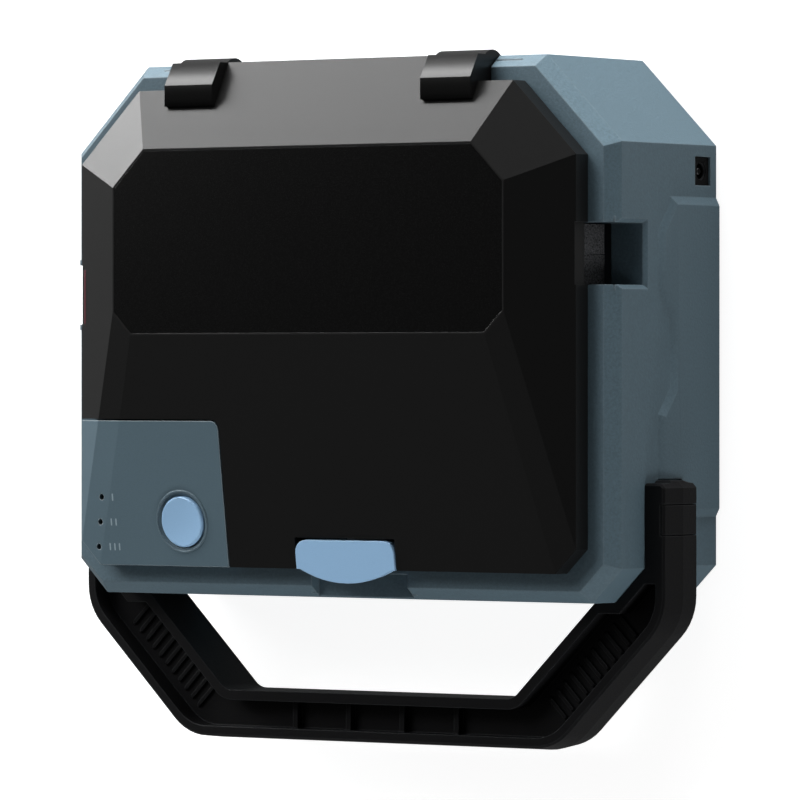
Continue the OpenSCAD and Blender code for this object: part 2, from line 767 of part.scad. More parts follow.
module light_pipes() {
    color("#20262A") for (at = led_places) post(at, led_r - run_gap,
        z_panel_board + board_t + board_led_h, facet_z(at[1]) - lid_wall);
}

board_led_h = 0.8;
switch_side = 6;
switch_h = facet_z(-button_y) - button_skirt / cos(facet_tilt) - switch_side / 2 * tan(facet_tilt)
    - button_travel - seat_gap - z_panel_board - board_t;

module button_board() {
    color("#1E5A3C") intersection() {
        box([-half_w, -half_l, z_panel_board],
            [-panel_edge_x - lid_wall * 2, -panel_edge_y - lid_wall * 2, z_panel_board + board_t]);
        slab(inset(case_outline, ledge_in + seat_gap * 2), z_panel_board, z_panel_board + board_t);
    }
    color(dark_plastic) translate([-button_x - switch_side / 2, -button_y - switch_side / 2,
        z_panel_board + board_t])
        cube([switch_side, switch_side, switch_h]);
    color("white") for (at = led_places) translate([at[0] - led_r / 2, at[1] - led_r / 2,
        z_panel_board + board_t])
        cube([led_r, led_r, board_led_h]);
}

module power_button() {
    dome_r = (button_r * button_r + button_dome * button_dome) / (2 * button_dome);
    color(tab_blue) on_facet(-button_x, -button_y) rotate_extrude() polygon(concat(
        [[0, -button_skirt], [button_r + button_flange, -button_skirt],
            [button_r + button_flange, -button_skirt + button_flange_t],
                [button_r, -button_skirt + button_flange_t]],
        arc([0, button_dome - dome_r], dome_r, asin((dome_r - button_dome) / dome_r), 90, 8)));
}

module main_board() {
    color("#1E5A3C") difference() {
        box([board_x - board_w / 2, board_y - board_l / 2, z_board],
            [board_x + board_w / 2, board_y + board_l / 2, z_board + board_t]);
        for (x = [-1, 1], y = [-1, 1]) translate([board_x + x * (board_w / 2 - boss_r),
            board_y + y * (board_l / 2 - boss_r), 0]) rod(screw_r + joint_gap, z_board - eps,
                z_board + board_t + eps);
    }
}

// Chips, connectors and capacitors as [place on the board, size], in shares of the board and of its width
chip_shares = [[[-0.1, 0.05], [0.15, 0.15, 0.015]], [[0.2, 0.2], [0.1, 0.06, 0.012]],
    [[0.2, -0.15], [0.09, 0.09, 0.012]], [[-0.3, -0.35], [0.2, 0.06, 0.08]],
        [[0.1, -0.38], [0.16, 0.06, 0.08]],
    [[-0.42, 0.1], [0.06, 0.2, 0.07]]];
capacitor_shares = [[0.36, 0.3], [0.36, 0.05], [-0.3, 0.35]];
capacitor_r = 4;
capacitor_h = 11;

module board_parts() {
    color(dark_plastic) for (chip = chip_shares) let (size = chip[1] * board_w)
        translate([board_x + chip[0][0] * board_w - size[0] / 2,
            board_y + chip[0][1] * board_l - size[1] / 2, z_board + board_t])
            cube(size);
    color(steel) for (s = capacitor_shares) translate([board_x + s[0] * board_w,
        board_y + s[1] * board_l, 0])
        rod(capacitor_r, z_board + board_t, z_board + board_t + capacitor_h);
}

cell_cap_r = 2.8;
cell_cap_h = 0.8;

module battery_pack() {
    color("#3A6EA5") for (x = [-1, 1], y = [-1, 1]) {
        from = x < 0 ? -cell_l - battery_gap / 2 : battery_gap / 2;
        cross_rod(cell_r, from + cell_cap_h, from + cell_l - cell_cap_h, battery_y + y * cell_y, z_cell);
        cross_rod(cell_cap_r, from, from + cell_l, battery_y + y * cell_y, z_cell);
    }
    color("#3A6EA5") box([-cell_l / 2, battery_y - cell_y, z_cell - joint_gap],
        [cell_l / 2, battery_y + cell_y, z_cell + joint_gap]);
    color("#3A6EA5") box([-cell_r, battery_y - cell_y, z_cell - joint_gap],
        [cell_r, battery_y + cell_y, z_cell + joint_gap]);
}

module dc_jack() {
    side = jack_side / 2 - joint_gap;
    front = half_w - jack_set_in;
    color(dark_plastic) difference() {
        box([front - jack_l, jack_y - side, jack_z - side], [front, jack_y + side, jack_z + side]);
        cross_rod(jack_hole_r, front - jack_bore_l, front + eps, jack_y, jack_z);
    }
    color(steel) cross_rod(jack_pin_r, front - jack_bore_l - eps, front - jack_set_in, jack_y, jack_z);
}

// Involute gear: radii and half angles of one flank, from the root to the tip
function involute(angle) = tan(angle) * 180 / PI - angle;
function flank_angle(teeth, r) = let (base = pitch_r(teeth) * cos(pressure_angle))
    90 / teeth - backlash * gear_module / pitch_r(teeth) * 90 / PI + involute(pressure_angle)
    - involute(acos(min(1, base / r)));
flank_shares = [-1.2, -0.6, 0, 0.5, 0.95];
function gear_outline(teeth) = let (r = [for (s = flank_shares) pitch_r(teeth) + s * gear_module])
    [for (i = [0 : teeth - 1], j = [0 : 9]) let (k = j < 5 ? j : 9 - j, side = j < 5 ? -1 : 1,
        t = 360 * i / teeth + side * flank_angle(teeth, r[k])) r[k] * [cos(t), sin(t)]];

gear_web_share = 0.45;
gear_hub_share = 0.32;
gear_rim_share = 2.6;

// A spur gear with a thinner web, on a shaft of radius bore
module spur_gear(teeth, at, turn, bore) {
    translate([at[0], at[1], z_gear]) rotate([0, 0, turn]) difference() {
        linear_extrude(gear_t) polygon(gear_outline(teeth));
        translate([0, 0, -eps]) cylinder(r = bore, h = gear_t + 2 * eps);
        if (teeth > idler_teeth) translate([0, 0, gear_t * (1 - gear_web_share)]) difference() {
            cylinder(r = pitch_r(teeth) - gear_rim_share * gear_module, h = gear_t);
            cylinder(r = pitch_r(teeth) * gear_hub_share, h = gear_t);
        }
    }
}

motor_boss_r = 5;
motor_boss_h = 1;
motor_shaft_r = 1.5;
motor_shaft_l = 6;

module feed_motor() {
    color(steel) on_path() translate([pinion_at[0], pinion_at[1], 0]) difference() {
        union() {
            rod(motor_r, z_plate - motor_l, z_plate);
            rod(motor_boss_r, z_plate - eps, z_plate + motor_boss_h);
        }
        rod(motor_shaft_r + run_gap, z_plate - motor_shaft_l - run_gap, z_plate + motor_boss_h + eps);
    }
}

pillar_r = 3;
pillar_places = [[-0.9, 1.1], [2.4, 1.1], [2.4, -0.45], [-1.6, 0.1]];
plate_margin = 7;

function pillar_at(share) = [share[0] * pitch_r(roller_teeth), share[1] * 2 * pitch_r(roller_teeth)];

module gear_plate() {
    motor_edge = pinion_at[1] + motor_r;
    plan = [[pillar_at(pillar_places[3])[0] - plate_margin, ribbon_idler_at[1] - plate_margin],
        [pillar_at(pillar_places[2])[0] + plate_margin, pillar_at(pillar_places[2])[1] - plate_margin],
        [pillar_at(pillar_places[1])[0] + plate_margin, motor_edge],
        [pillar_at(pillar_places[0])[0] - plate_margin, motor_edge]];
    color(steel) on_path() difference() {
        union() {
            slab(rounded(plan, [plate_margin, plate_margin, plate_margin, plate_margin]), z_plate,
                z_plate + plate_t);
            for (s = pillar_places) translate([pillar_at(s)[0], pillar_at(s)[1], 0])
                rod(pillar_r, z_plate, z_deck_low);
        }
        for (at = [platen_at, feed_at, feed_idler_at, ribbon_idler_at])
            post(at, shaft_r + run_gap, z_plate - eps, z_plate + plate_t + eps);
        post(pinion_at, motor_boss_r + run_gap, z_plate - eps, z_plate + plate_t + eps);
    }
}

module fixed_posts() {
    color(steel) on_path() for (at = [feed_idler_at, ribbon_idler_at]) translate([at[0], at[1], 0]) {
        rod(shaft_r, z_plate, z_deck_low);
        rod(shaft_r * 1.5, z_plate + plate_t, z_gear - run_gap);
    }
    color(steel) on_path() {
        post(lever_at, shaft_r, z_deck_low, roller_top + 2 * lever_t);
        post(supply_at, shaft_r, z_deck_low, z_spool + spool_h + cassette_wall);
    }
}

module motor_pinion() {
    color("#D8C9A0") on_path() spur_gear(pinion_teeth, pinion_at, pinion_turn, motor_shaft_r);
    color(steel) on_path() post(pinion_at, motor_shaft_r, z_plate - motor_shaft_l,
        z_gear + gear_t + gear_gap / 2);
}

module feed_idler() {
    color("#E4E2DC") on_path() spur_gear(idler_teeth, feed_idler_at, feed_idler_turn, shaft_r + run_gap);
}

module ribbon_idler() {
    color("#E4E2DC") on_path() spur_gear(ribbon_teeth, ribbon_idler_at, ribbon_idler_turn,
        shaft_r + run_gap);
}

module platen_gear() {
    color("#E4E2DC") on_path() spur_gear(roller_teeth, platen_at, 0, shaft_r + run_gap / 5);
}

module feed_gear() {
    color("#E4E2DC") on_path() spur_gear(roller_teeth, feed_at, feed_gear_turn, shaft_r + run_gap / 5);
}

collar_r = 3.4;
collar_h = 1;
roller_top = z_roller + roller_l;

// A steel shaft with a collar on the deck and a clip groove at the top
module roller_shaft(at) {
    color(steel) on_path() translate([at[0], at[1], 0]) difference() {
        union() {
            rod(shaft_r, z_plate, roller_top + 2 * collar_h);
            rod(collar_r, z_deck + deck_hub_h + run_gap, z_roller);
        }
        difference() {
            rod(shaft_r + eps, roller_top + collar_h / 2, roller_top + collar_h);
            rod(shaft_r * 0.75, roller_top, roller_top + 2 * collar_h);
        }
    }
}

module platen_shaft() {
    roller_shaft(platen_at);
}

module feed_shaft() {
    roller_shaft(feed_at);
}

roller_edge = 0.6;

module roller_body(at, r, bore, from, to) {
    translate([at[0], at[1], 0]) rotate_extrude() polygon([[bore, from], [r - roller_edge, from],
        [r, from + roller_edge], [r, to - roller_edge], [r - roller_edge, to], [bore, to]]);
}

module platen_roller() {
    color(dark_plastic) on_path() roller_body(platen_at, roller_r, shaft_r + run_gap / 5, z_roller,
        roller_top);
}

module feed_roller() {
    color(dark_plastic) on_path() difference() {
        roller_body(feed_at, roller_r, shaft_r + run_gap / 5, z_roller, roller_top);
        for (z = [0.33, 0.67]) translate([feed_at[0], feed_at[1], z_roller + z * roller_l]) rotate_extrude()
            polygon([[roller_r - roller_edge, -roller_edge / 2], [roller_r + eps, -roller_edge],
                [roller_r + eps, roller_edge], [roller_r - roller_edge, roller_edge / 2]]);
    }
}

pinch_r = 5.2;
pinch_pin_r = 1.5;
lever_reach = 18;
lever_drop = 1.6;
lever_r = 4;
lever_t = 1.8;
lever_sleeve_r = 3.6;
link_steps = 9;
pinch_at = [feed_pitch, -tube_gap / 2 - pinch_r];
lever_at = pinch_at + [lever_reach, -lever_drop];

// A flat link with round ends between two points
module link(a, b, r, from, to) {
    turn = atan2(b[1] - a[1], b[0] - a[0]);
    slab(concat(arc(b, r, turn - 90, turn + 90, link_steps), arc(a, r, turn + 90, turn + 270,
        link_steps)), from, to);
}

module pinch_lever() {
    low = z_deck + seat_gap;
    high = roller_top + seat_gap + lever_t;
    color("#C9CDD2") on_path() {
        difference() {
            union() {
                link(lever_at, pinch_at, lever_r, low, low + lever_t);
                link(lever_at, pinch_at, lever_r, high - lever_t, high);
                post(lever_at, lever_sleeve_r, low, high);
                post(pinch_at, pinch_pin_r, low, high);
            }
            post(lever_at, shaft_r + run_gap, low - eps, high + eps);
        }
    }
}

module pinch_roller() {
    color(dark_plastic) on_path() roller_body(pinch_at, pinch_r, pinch_pin_r + run_gap,
        z_deck + 2 * seat_gap + lever_t, roller_top - seat_gap / 3);
}

head_half = 11;
head_face_gap = 2.3;
head_face_t = 0.8;
head_depth = 9;
head_top_gap = 1.5;
fin_pitch = 2.4;
fin_slot = 1.2;
fin_depth = 4;
bracket_t = 1.6;
bracket_foot = 5;

module print_head() {
    back = -head_face_gap - head_depth;
    top = roller_top - head_top_gap;
    color("#AEB4B8") on_path() difference() {
        box([-head_half, back, z_deck + bracket_t], [head_half, -head_face_gap - head_face_t, top]);
        for (u = [-head_half + fin_pitch : fin_pitch : head_half - fin_pitch])
            box([u - fin_slot / 2, back - eps, z_deck + bracket_t + fin_depth],
                [u + fin_slot / 2, back + fin_depth, top + eps]);
    }
    color("#EDE6D2") on_path() box([-head_half * 0.9, -head_face_gap - head_face_t - eps, z_roller],
        [head_half * 0.9, -head_face_gap, top - head_face_t]);
}

module head_bracket() {
    back = -head_face_gap - head_depth;
    top = roller_top - head_top_gap;
    color(steel) on_path() difference() {
        union() {
            box([-head_half, back - bracket_foot, z_deck], [head_half, -head_face_gap - head_face_t,
                z_deck + bracket_t]);
            box([-head_half, back - bracket_t, z_deck], [head_half, back, top]);
        }
        for (u = [-1, 1]) translate([u * head_half * 0.65, back - bracket_foot * 0.6, 0])
            rod(screw_r, z_deck - eps, z_deck + bracket_t + eps);
    }
}

guide_half = 6;
guide_w = 18;
guide_r = 5;
guide_lip = 3;

module tube_guide(u) {
    difference() {
        box([u - guide_half, -guide_w / 2, z_deck], [u + guide_half, guide_w / 2, z_tube + guide_lip]);
        cross_rod(guide_r, u - guide_half - eps, u + guide_half + eps, 0, z_tube);
        box([u - guide_half - eps, -guide_r, z_tube], [u + guide_half + eps, guide_r,
            z_tube + guide_lip + eps]);
    }
}

module tube_guides() {
    color("#3B4348") on_path() for (side = [-1, 1]) tube_guide(side * (half_w - ledge_in - 2 * guide_half));
}

cutter_u = -46;
cutter_half = 3;
cutter_slot = 0.6;
cutter_cheek_v = 5;
cutter_back_v = 24;
anvil_v = 9;
anvil_face = 2.4;
cutter_base_t = 2.5;
blade_t = 1;
blade_edge = 3;
blade_back = 20;
blade_travel = 5;
blade_bevel = 1.5;
plunger_r = 1.8;
plunger_end = 40;
solenoid_v = 28;
solenoid_l = 20;
solenoid_half = 7;

module cutter_frame() {
    top = roller_top + collar_h;
    cheek_back_v = blade_back - blade_t - blade_travel - seat_gap;
    color(steel) on_path() {
        box([cutter_u - cutter_half * 2, -anvil_v, z_deck], [cutter_u + cutter_half * 2, cutter_back_v,
            z_deck + cutter_base_t]);
        for (side = [-1, 1]) box(
            [cutter_u + (side > 0 ? cutter_slot : -cutter_half), cutter_cheek_v, z_deck],
            [cutter_u + (side > 0 ? cutter_half : -cutter_slot), cheek_back_v, top]);
        box([cutter_u - cutter_half, -anvil_v, z_deck], [cutter_u + cutter_half, -anvil_face, top]);
    }
}

module cutter_blade() {
    low = z_deck + cutter_base_t + seat_gap;
    top = roller_top;
    color("#D9DDE0") on_path() {
        translate([cutter_u, 0, low]) linear_extrude(top - low) polygon([[0, blade_edge],
            [blade_t / 2, blade_edge + blade_bevel], [blade_t / 2, blade_back], [-blade_t / 2, blade_back],
            [-blade_t / 2, blade_edge + blade_bevel]]);
        translate([cutter_u, blade_back - blade_t, (z_deck + top) / 2]) rotate([-90, 0, 0])
            cylinder(r = plunger_r, h = plunger_end - blade_back);
    }
}

module cutter_solenoid() {
    top = roller_top - seat_gap;
    color("#3E4A3A") on_path() difference() {
        box([cutter_u - solenoid_half, solenoid_v, z_deck], [cutter_u + solenoid_half,
            solenoid_v + solenoid_l, top]);
        translate([cutter_u, solenoid_v - eps, (z_deck + roller_top) / 2]) rotate([-90, 0, 0])
            cylinder(r = plunger_r + run_gap, h = solenoid_l * 0.75);
        for (side = [-1, 1]) box([cutter_u + side * solenoid_half - bracket_t, solenoid_v + bracket_t,
            z_deck + cutter_base_t],
            [cutter_u + side * solenoid_half + bracket_t, solenoid_v + solenoid_l - bracket_t, top + eps]);
    }
}

cassette_wall = 1.5;
cassette_corner = 6;
cassette_window_r = 9;
head_notch = 13;
head_notch_l = 10;
spindle_r = 3.5;
hub_r = 5.5;
hub_rise = 0.8;
take_up_ribbon_r = 9;
z_cassette = z_deck + seat_gap;
z_spool = z_cassette + cassette_wall + seat_gap;
spool_h = cassette_h - 2 * cassette_wall - 2 * seat_gap;

function cassette_plan(d) = let (x = cassette_w / 2 - d, low = cassette_v - cassette_l / 2 + d,
    high = cassette_v + cassette_l / 2 - d, n = head_notch + d, r = cassette_corner - d)
    rounded([[cassette_u - x, low], [cassette_u + x, low], [cassette_u + x, high], [n, high],
        [n, high - head_notch_l], [-n, high - head_notch_l], [-n, high], [cassette_u - x, high]],
        [r, r, r, 0, 0, 0, 0, r]);

module cassette_shell() {
    color("#34383C") on_path() difference() {
        slab(cassette_plan(0), z_cassette, z_cassette + cassette_h);
        slab(cassette_plan(cassette_wall), z_cassette + cassette_wall,
            z_cassette + cassette_h - cassette_wall);
        for (at = [take_up_at, supply_at]) translate([at[0], at[1], 0]) {
            rod(cassette_window_r, z_cassette + cassette_h / 2, z_cassette + cassette_h + eps);
            rod(hub_r + joint_gap, z_cassette - eps, z_cassette + cassette_h / 2);
        }
        for (side = [-1, 1]) box([side * (head_notch + cassette_wall * 5) - seat_gap,
            -cassette_gap - cassette_wall - eps, z_spool],
            [side * (head_notch + cassette_wall * 5) + seat_gap, -cassette_gap + eps, z_spool + spool_h]);
    }
}

film_t = 0.25;
film_reach = 20.5;

// The stretch of ribbon that runs from the cassette round the print head's face
module ribbon_film() {
    face = -head_face_gap + film_t;
    half = head_half - film_t;
    line = [[-film_reach, -cassette_gap + joint_gap], [-half - film_t, face], [half + film_t, face],
        [film_reach, -cassette_gap + joint_gap]];
    outer = [line[0] + [-film_t, 0], line[1] + [-film_t, film_t], line[2] + [film_t, film_t],
        line[3] + [film_t, 0]];
    color("#16181A") on_path() translate([0, 0, z_spool + cassette_wall])
        linear_extrude(spool_h - 2 * cassette_wall)
        polygon(concat(line, [outer[3], outer[2], outer[1], outer[0]]));
}

module spool(at, bore, r) {
    translate([at[0], at[1], 0]) difference() {
        union() {
            rod(hub_r, z_spool - cassette_wall, z_spool + spool_h);
            rod(r, z_spool + hub_rise, z_spool + spool_h - hub_rise);
        }
        rod(bore, z_spool - cassette_wall - eps, z_spool + spool_h + eps);
    }
}

module take_up_spool() {
    color("#16181A") on_path() spool(take_up_at, spindle_r + run_gap / 5, take_up_ribbon_r);
}

module supply_spool() {
    color("#16181A") on_path() spool(supply_at, shaft_r + run_gap, ribbon_r);
}

module take_up_gear() {
    color("#E4E2DC") on_path() {
        spur_gear(spool_teeth, take_up_at, take_up_turn, spindle_r);
        post(take_up_at, spindle_r, z_plate + plate_t + gear_gap / 2, z_spool + spool_h + cassette_wall);
    }
}

// Lid
liner_t = 1.6;
liner_rise = 2;
liner_gap = 0.3;
z_liner = z_lid_low + liner_rise;
lip_t = 2.2;
lip_low = 4.4;
leaf_t = 2.2;
leaf_l = 15;
z_leaf = z_liner + liner_t + liner_gap;
lid_notch = 1.4;
lid_screw_places = [[lid_x * 0.88, half_l * 0.42], [-lid_x * 0.88, half_l * 0.42],
    [lid_x * 0.88, -half_l * 0.6],
    [-lid_x * 0.88, -half_l * 0.2], [-window_x * 0.25, -half_l * 0.76], [0, half_l * 0.78]];
lid_boss_r = 3;
tab_gap = 0.35;
tab_heel_gap = 0.8;
latch_lug = 3.2;

module tongue_profile() {
    from = lid_high - lip_t;
    slope = lip_t / cos(hinge_tilt);
    back = hinge_back_y;
    polygon([[from, hinge_bevel_z(from) - slope], [back - lip_t, hinge_bevel_z(back - lip_t) - slope],
        [back - lip_t, hinge_z - lip_low], [back, hinge_z - lip_low], [back, hinge_bevel_z(back)],
        [from, hinge_bevel_z(from)]]);
}

module lid_bosses() {
    intersection() {
        union() {
            for (at = lid_screw_places) post(at, lid_boss_r, z_liner + liner_t, z_lid_top);
            for (x = [-1, 1], y = [0.3, 0.75]) translate([x * knuckle_x,
                lid_high - leaf_l * y - lip_t * 3, 0])
                rod(lid_boss_r, z_leaf + leaf_t, z_lid_top);
            for (side = [-1, 1]) box(
                [latch_x + side * (latch_w / 2 + tab_gap + latch_lug / 2) - latch_lug / 2,
                    latch_pin_y - latch_lug, latch_pin_z - latch_lug / 2],
                [latch_x + side * (latch_w / 2 + tab_gap + latch_lug / 2) + latch_lug / 2,
                    latch_pin_y + latch_lug, z_lid_top]);
        }
        lid_form(lid_wall / 2, z_lid_low);
    }
}

module lid_shell() {
    color(lid_black) difference() {
        union() {
            difference() {
                lid_form(0, z_lid_low);
                lid_form(lid_wall, z_lid_low - eps);
            }
            lid_bosses();
            translate([-knuckle_in + joint_gap, 0, 0]) facing_x()
                linear_extrude(2 * (knuckle_in - joint_gap)) tongue_profile();
        }
        slab(inset(window_outline, window_rim - joint_gap), z_lid_top - window_t, z_lid_top + eps);
        slab(panel_region(panel_gap), z_lid_low - eps, z_lid_top + eps);
        both_sides() box([knuckle_in - joint_gap, knuckle_start_y - joint_gap, z_deck],
            [knuckle_out + joint_gap, half_l + eps, z_lid_top]);
        both_sides() box([ear_in - seat_gap, hinge_back_y - lip_t - eps, z_deck],
            [knuckle_in, hinge_back_y + eps, hinge_bevel_z(hinge_back_y) - lip_t * 0.2]);
        box([latch_x - latch_w / 2 - tab_gap, -half_l, z_deck],
            [latch_x + latch_w / 2 + tab_gap, tab_top + tab_heel_gap, z_lid_top]);
        box([lid_x - lid_notch, inlet_y - notch_w / 2, z_lid_low - eps],
            [lid_x + eps, inlet_y + notch_w / 2, z_lid_edge + eps]);
        box([-lid_x - eps, outlet_y - notch_w / 2, z_lid_low - eps],
            [-lid_x + lid_notch, outlet_y + notch_w / 2, z_lid_edge + eps]);
        for (at = lid_screw_places) post(at, screw_r + run_gap, z_liner, z_liner + liner_t + boss_h / 3);
        cross_rod(latch_pin_r + run_gap, latch_x - latch_w / 2 - latch_lug - eps,
            latch_x + latch_w / 2 + latch_lug + eps, latch_pin_y, latch_pin_z);
    }
}

module lid_window() {
    color("#101012") slab(inset(window_outline, window_rim), z_lid_top - window_t, z_lid_top);
}

module lid_liner() {
    plan = inset(lid_outline, lid_wall + liner_gap);
    color("#232426") difference() {
        union() {
            slab(plan, z_liner, z_liner + liner_t);
        }
        slab(panel_region(panel_gap + lid_wall), z_lid_low, z_lid_top);
        box([-rim_cut_x, knuckle_start_y - seat_gap, z_lid_low], [rim_cut_x, half_l, z_lid_top]);
        box([latch_x - latch_w / 2 - latch_lug - seat_gap * 2, -half_l, z_lid_low],
            [latch_x + latch_w / 2 + latch_lug + seat_gap * 2, latch_pin_y + latch_lug + seat_gap,
            z_lid_top]);
        for (at = lid_screw_places) translate([at[0], at[1], 0]) {
            rod(screw_r + joint_gap, z_lid_low, z_liner + liner_t + eps);
        }
    }
}

module lid_screws() {
    color(steel) for (at = lid_screw_places) translate([at[0], at[1], 0])
        screw_up(z_liner - screw_head_h, screw_head_h + liner_t + boss_h / 4);
}

knuckle_flat = 7.4;
knuckle_slope_z = 4.9;
knuckle_boss_r = 7.2;

module hinge_arms() {
    top = z_band + knuckle_rise;
    color(lid_black) both_sides() difference() {
        translate([knuckle_in, 0, 0]) facing_x() linear_extrude(knuckle_w) union() {
            translate([hinge_y, hinge_z]) circle(r = knuckle_boss_r);
            polygon([[knuckle_start_y - leaf_l, z_leaf], [knuckle_start_y + seat_gap, z_leaf],
                [hinge_y - knuckle_boss_r * 0.7, hinge_z],
                [hinge_y, hinge_z - knuckle_boss_r], [hinge_back_y, hinge_z - knuckle_boss_r * 0.68],
                [hinge_back_y, top - knuckle_slope_z], [knuckle_start_y + knuckle_flat, top],
                [knuckle_start_y, top], [knuckle_start_y, z_leaf + leaf_t],
                    [knuckle_start_y - leaf_l, z_leaf + leaf_t]]);
        }
        cross_rod(hinge_pin_r + run_gap, knuckle_in - eps, knuckle_out + eps, hinge_y, hinge_z);
    }
}

module hinge_pins() {
    color(steel) both_sides() cross_rod(hinge_pin_r, ear_in, rim_cut_x + pin_hold - wall - run_gap,
        hinge_y, hinge_z);
}

// Latch
latch_corner_r = 4.5;
latch_shoulder = 1.5;
latch_proud = 0.6;
latch_pin_r = 1;
latch_pivot_l = 7;
latch_pivot_drop = 4.6;
tab_top = lid_low + latch_l;
latch_pin_y = lid_low + latch_pivot_l * cos(facet_tilt) + latch_pivot_drop * sin(facet_tilt);
latch_pin_z = z_lid_edge + latch_pivot_l * sin(facet_tilt) - latch_pivot_drop * cos(facet_tilt);
leg_t = 1.8;
leg_out = 4.3;
tooth_l = 3.2;
tooth_t = 1.7;
tooth_drop = 2.5;
z_tooth = z_band - tooth_drop;
hook_grip = 1;

leg_y = latch_pin_y - leg_out + eps;

module latch_outline() {
    half = latch_w / 2;
    chord = half - latch_shoulder;
    lip_r = (chord * chord + latch_lip * latch_lip) / (2 * latch_lip);
    swing = asin(chord / lip_r);
    top = latch_l / cos(facet_tilt);
    lip = arc([0, lip_r - latch_lip], lip_r, 270 - swing, 270 + swing, 12);
    polygon(concat([[-half, 0]], lip, [[half, 0]],
        round_corner([half, 0], [half, top], [-half, top], latch_corner_r, 6),
        round_corner([half, top], [-half, top], [-half, 0], latch_corner_r, 6)));
}

module latch_tab() {
    color(tab_blue) difference() {
        union() {
            on_facet(latch_x, lid_low) translate([0, 0, latch_proud - latch_t]) linear_extrude(latch_t)
                latch_outline();
            for (side = [-1, 1]) intersection() {
                on_facet(latch_x, lid_low) translate([side * (latch_w / 2 - latch_lug) - latch_lug / 2,
                    0, -latch_pivot_drop * 2])
                    cube([latch_lug, latch_l - seat_gap * 2, latch_pivot_drop * 2]);
                union() {
                    cross_rod(latch_lug * 0.8, latch_x - latch_w, latch_x + latch_w, latch_pin_y,
                        latch_pin_z);
                    box([latch_x - latch_w, latch_pin_y - latch_lug * 0.8, latch_pin_z],
                        [latch_x + latch_w, latch_pin_y + latch_lug * 0.8, z_lid_top]);
                }
            }
            box([latch_x - hook_w / 2, leg_y, z_tooth], [latch_x + hook_w / 2, leg_y + leg_t, z_lid_edge]);
            box([latch_x - hook_w / 2, leg_y, z_tooth],
                [latch_x + hook_w / 2, leg_y + leg_t + tooth_l, z_tooth + tooth_t]);
        }
        cross_rod(latch_pin_r + run_gap, latch_x - latch_w, latch_x + latch_w, latch_pin_y, latch_pin_z);
    }
}

module latch_pin() {
    color(steel) cross_rod(latch_pin_r, latch_x - latch_w / 2 - latch_lug,
        latch_x + latch_w / 2 + latch_lug, latch_pin_y, latch_pin_z);
}

striker_w = 16;
striker_foot = 9;

module latch_striker() {
    edge = leg_y + leg_t + tooth_l - hook_grip;
    back = latch_pin_y + leg_out;
    top = z_tooth + tooth_t + seat_gap;
    color(steel) {
        box([latch_x - striker_w / 2, edge, top], [latch_x + striker_w / 2, back, top + bracket_t]);
        box([latch_x - striker_w / 2, back - bracket_t, z_deck],
            [latch_x + striker_w / 2, back, top + bracket_t]);
        box([latch_x - striker_w / 2, back - bracket_t, z_deck],
            [latch_x + striker_w / 2, back + striker_foot, z_deck + bracket_t]);
    }
}

// Handle
handle_edge = 0.8;
handle_corner_r = 20;
ridge_half = 4.5;
gusset_w = 20.2;
pocket_depth = 8;
pocket_rim = 3.6;
pocket_top_share = 0.93;
rib_t = 2;
rib_h = 3;
rib_pitch = 23.2;
cap_t = 1.8;
cap_half = 5.45;
cap_gap = 0.15;
handle_head_r = 3.8;
handle_head_h = 2.6;
bow_outline = rounded([[-arm_out, -arm_top], [-arm_out, bow_low + bow_corner],
    [-arm_out + bow_corner, bow_low],
    [arm_out - bow_corner, bow_low], [arm_out, bow_low + bow_corner], [arm_out, -arm_top]],
    [handle_edge * 2, handle_corner_r, handle_corner_r, handle_corner_r, handle_corner_r,
        handle_edge * 2], 6);
grip_top = bow_low + grip_t;
grip_inner = -half_l - grip_top;
hand_x = arm_in - gusset_w;
hand_outline = rounded([[-hand_x, -half_l + wall], [-hand_x, -half_l],
    [-hand_x + grip_inner, grip_top], [hand_x - grip_inner, grip_top],
    [hand_x, -half_l], [hand_x, -half_l + wall]], [0, 0, handle_edge * 8, handle_edge * 8, 0, 0], 5);
z_handle = (z_arm_low + z_arm_top) / 2;

module pocket_plan() {
    difference() {
        polygon(inset(bow_outline, pocket_rim));
        polygon(inset(case_outline, -seat_gap - pocket_rim));
        polygon(inset(hand_outline, -pocket_rim));
        translate([-case_w, -half_l * pocket_top_share]) square([2 * case_w, case_l]);
    }
}

module handle() {
    color("#17181A") difference() {
        union() {
            difference() {
                stack([[inset(bow_outline, handle_edge), z_arm_low], [bow_outline, z_arm_low + handle_edge],
                    [bow_outline, z_handle - ridge_half], [inset(bow_outline, -handle_ridge),
                        z_handle - ridge_half + handle_ridge],
                    [inset(bow_outline, -handle_ridge), z_handle + ridge_half - handle_ridge],
                        [bow_outline, z_handle + ridge_half],
                    [bow_outline, z_arm_top - handle_edge], [inset(bow_outline, handle_edge), z_arm_top]]);
                slab(inset(case_outline, -seat_gap), z_arm_low - eps, z_arm_top + eps);
                slab(hand_outline, z_arm_low - eps, z_arm_top + eps);
                for (z = [z_arm_low, z_arm_top]) translate([0, 0, z - pocket_depth])
                    linear_extrude(2 * pocket_depth) pocket_plan();
            }
            for (i = [-1.5 : 1.5], z = [z_arm_low + pocket_depth - rib_h, z_arm_top - pocket_depth - eps])
                box([i * rib_pitch - rib_t / 2, bow_low + pocket_rim - eps, z],
                    [i * rib_pitch + rib_t / 2, grip_top - pocket_rim + eps, z + rib_h + eps]);
        }
        both_sides() {
            box([arm_out - cap_t, handle_screw_y - cap_half, z_arm_low - eps],
                [arm_out + arm_t, handle_screw_y + cap_half, z_arm_top + eps]);
            cross_rod(handle_screw_r + run_gap, arm_in - eps, arm_out, handle_screw_y, z_handle);
            cross_rod(handle_head_r + joint_gap, arm_out - cap_t - handle_head_h - joint_gap, arm_out,
                handle_screw_y, z_handle);
        }
    }
}

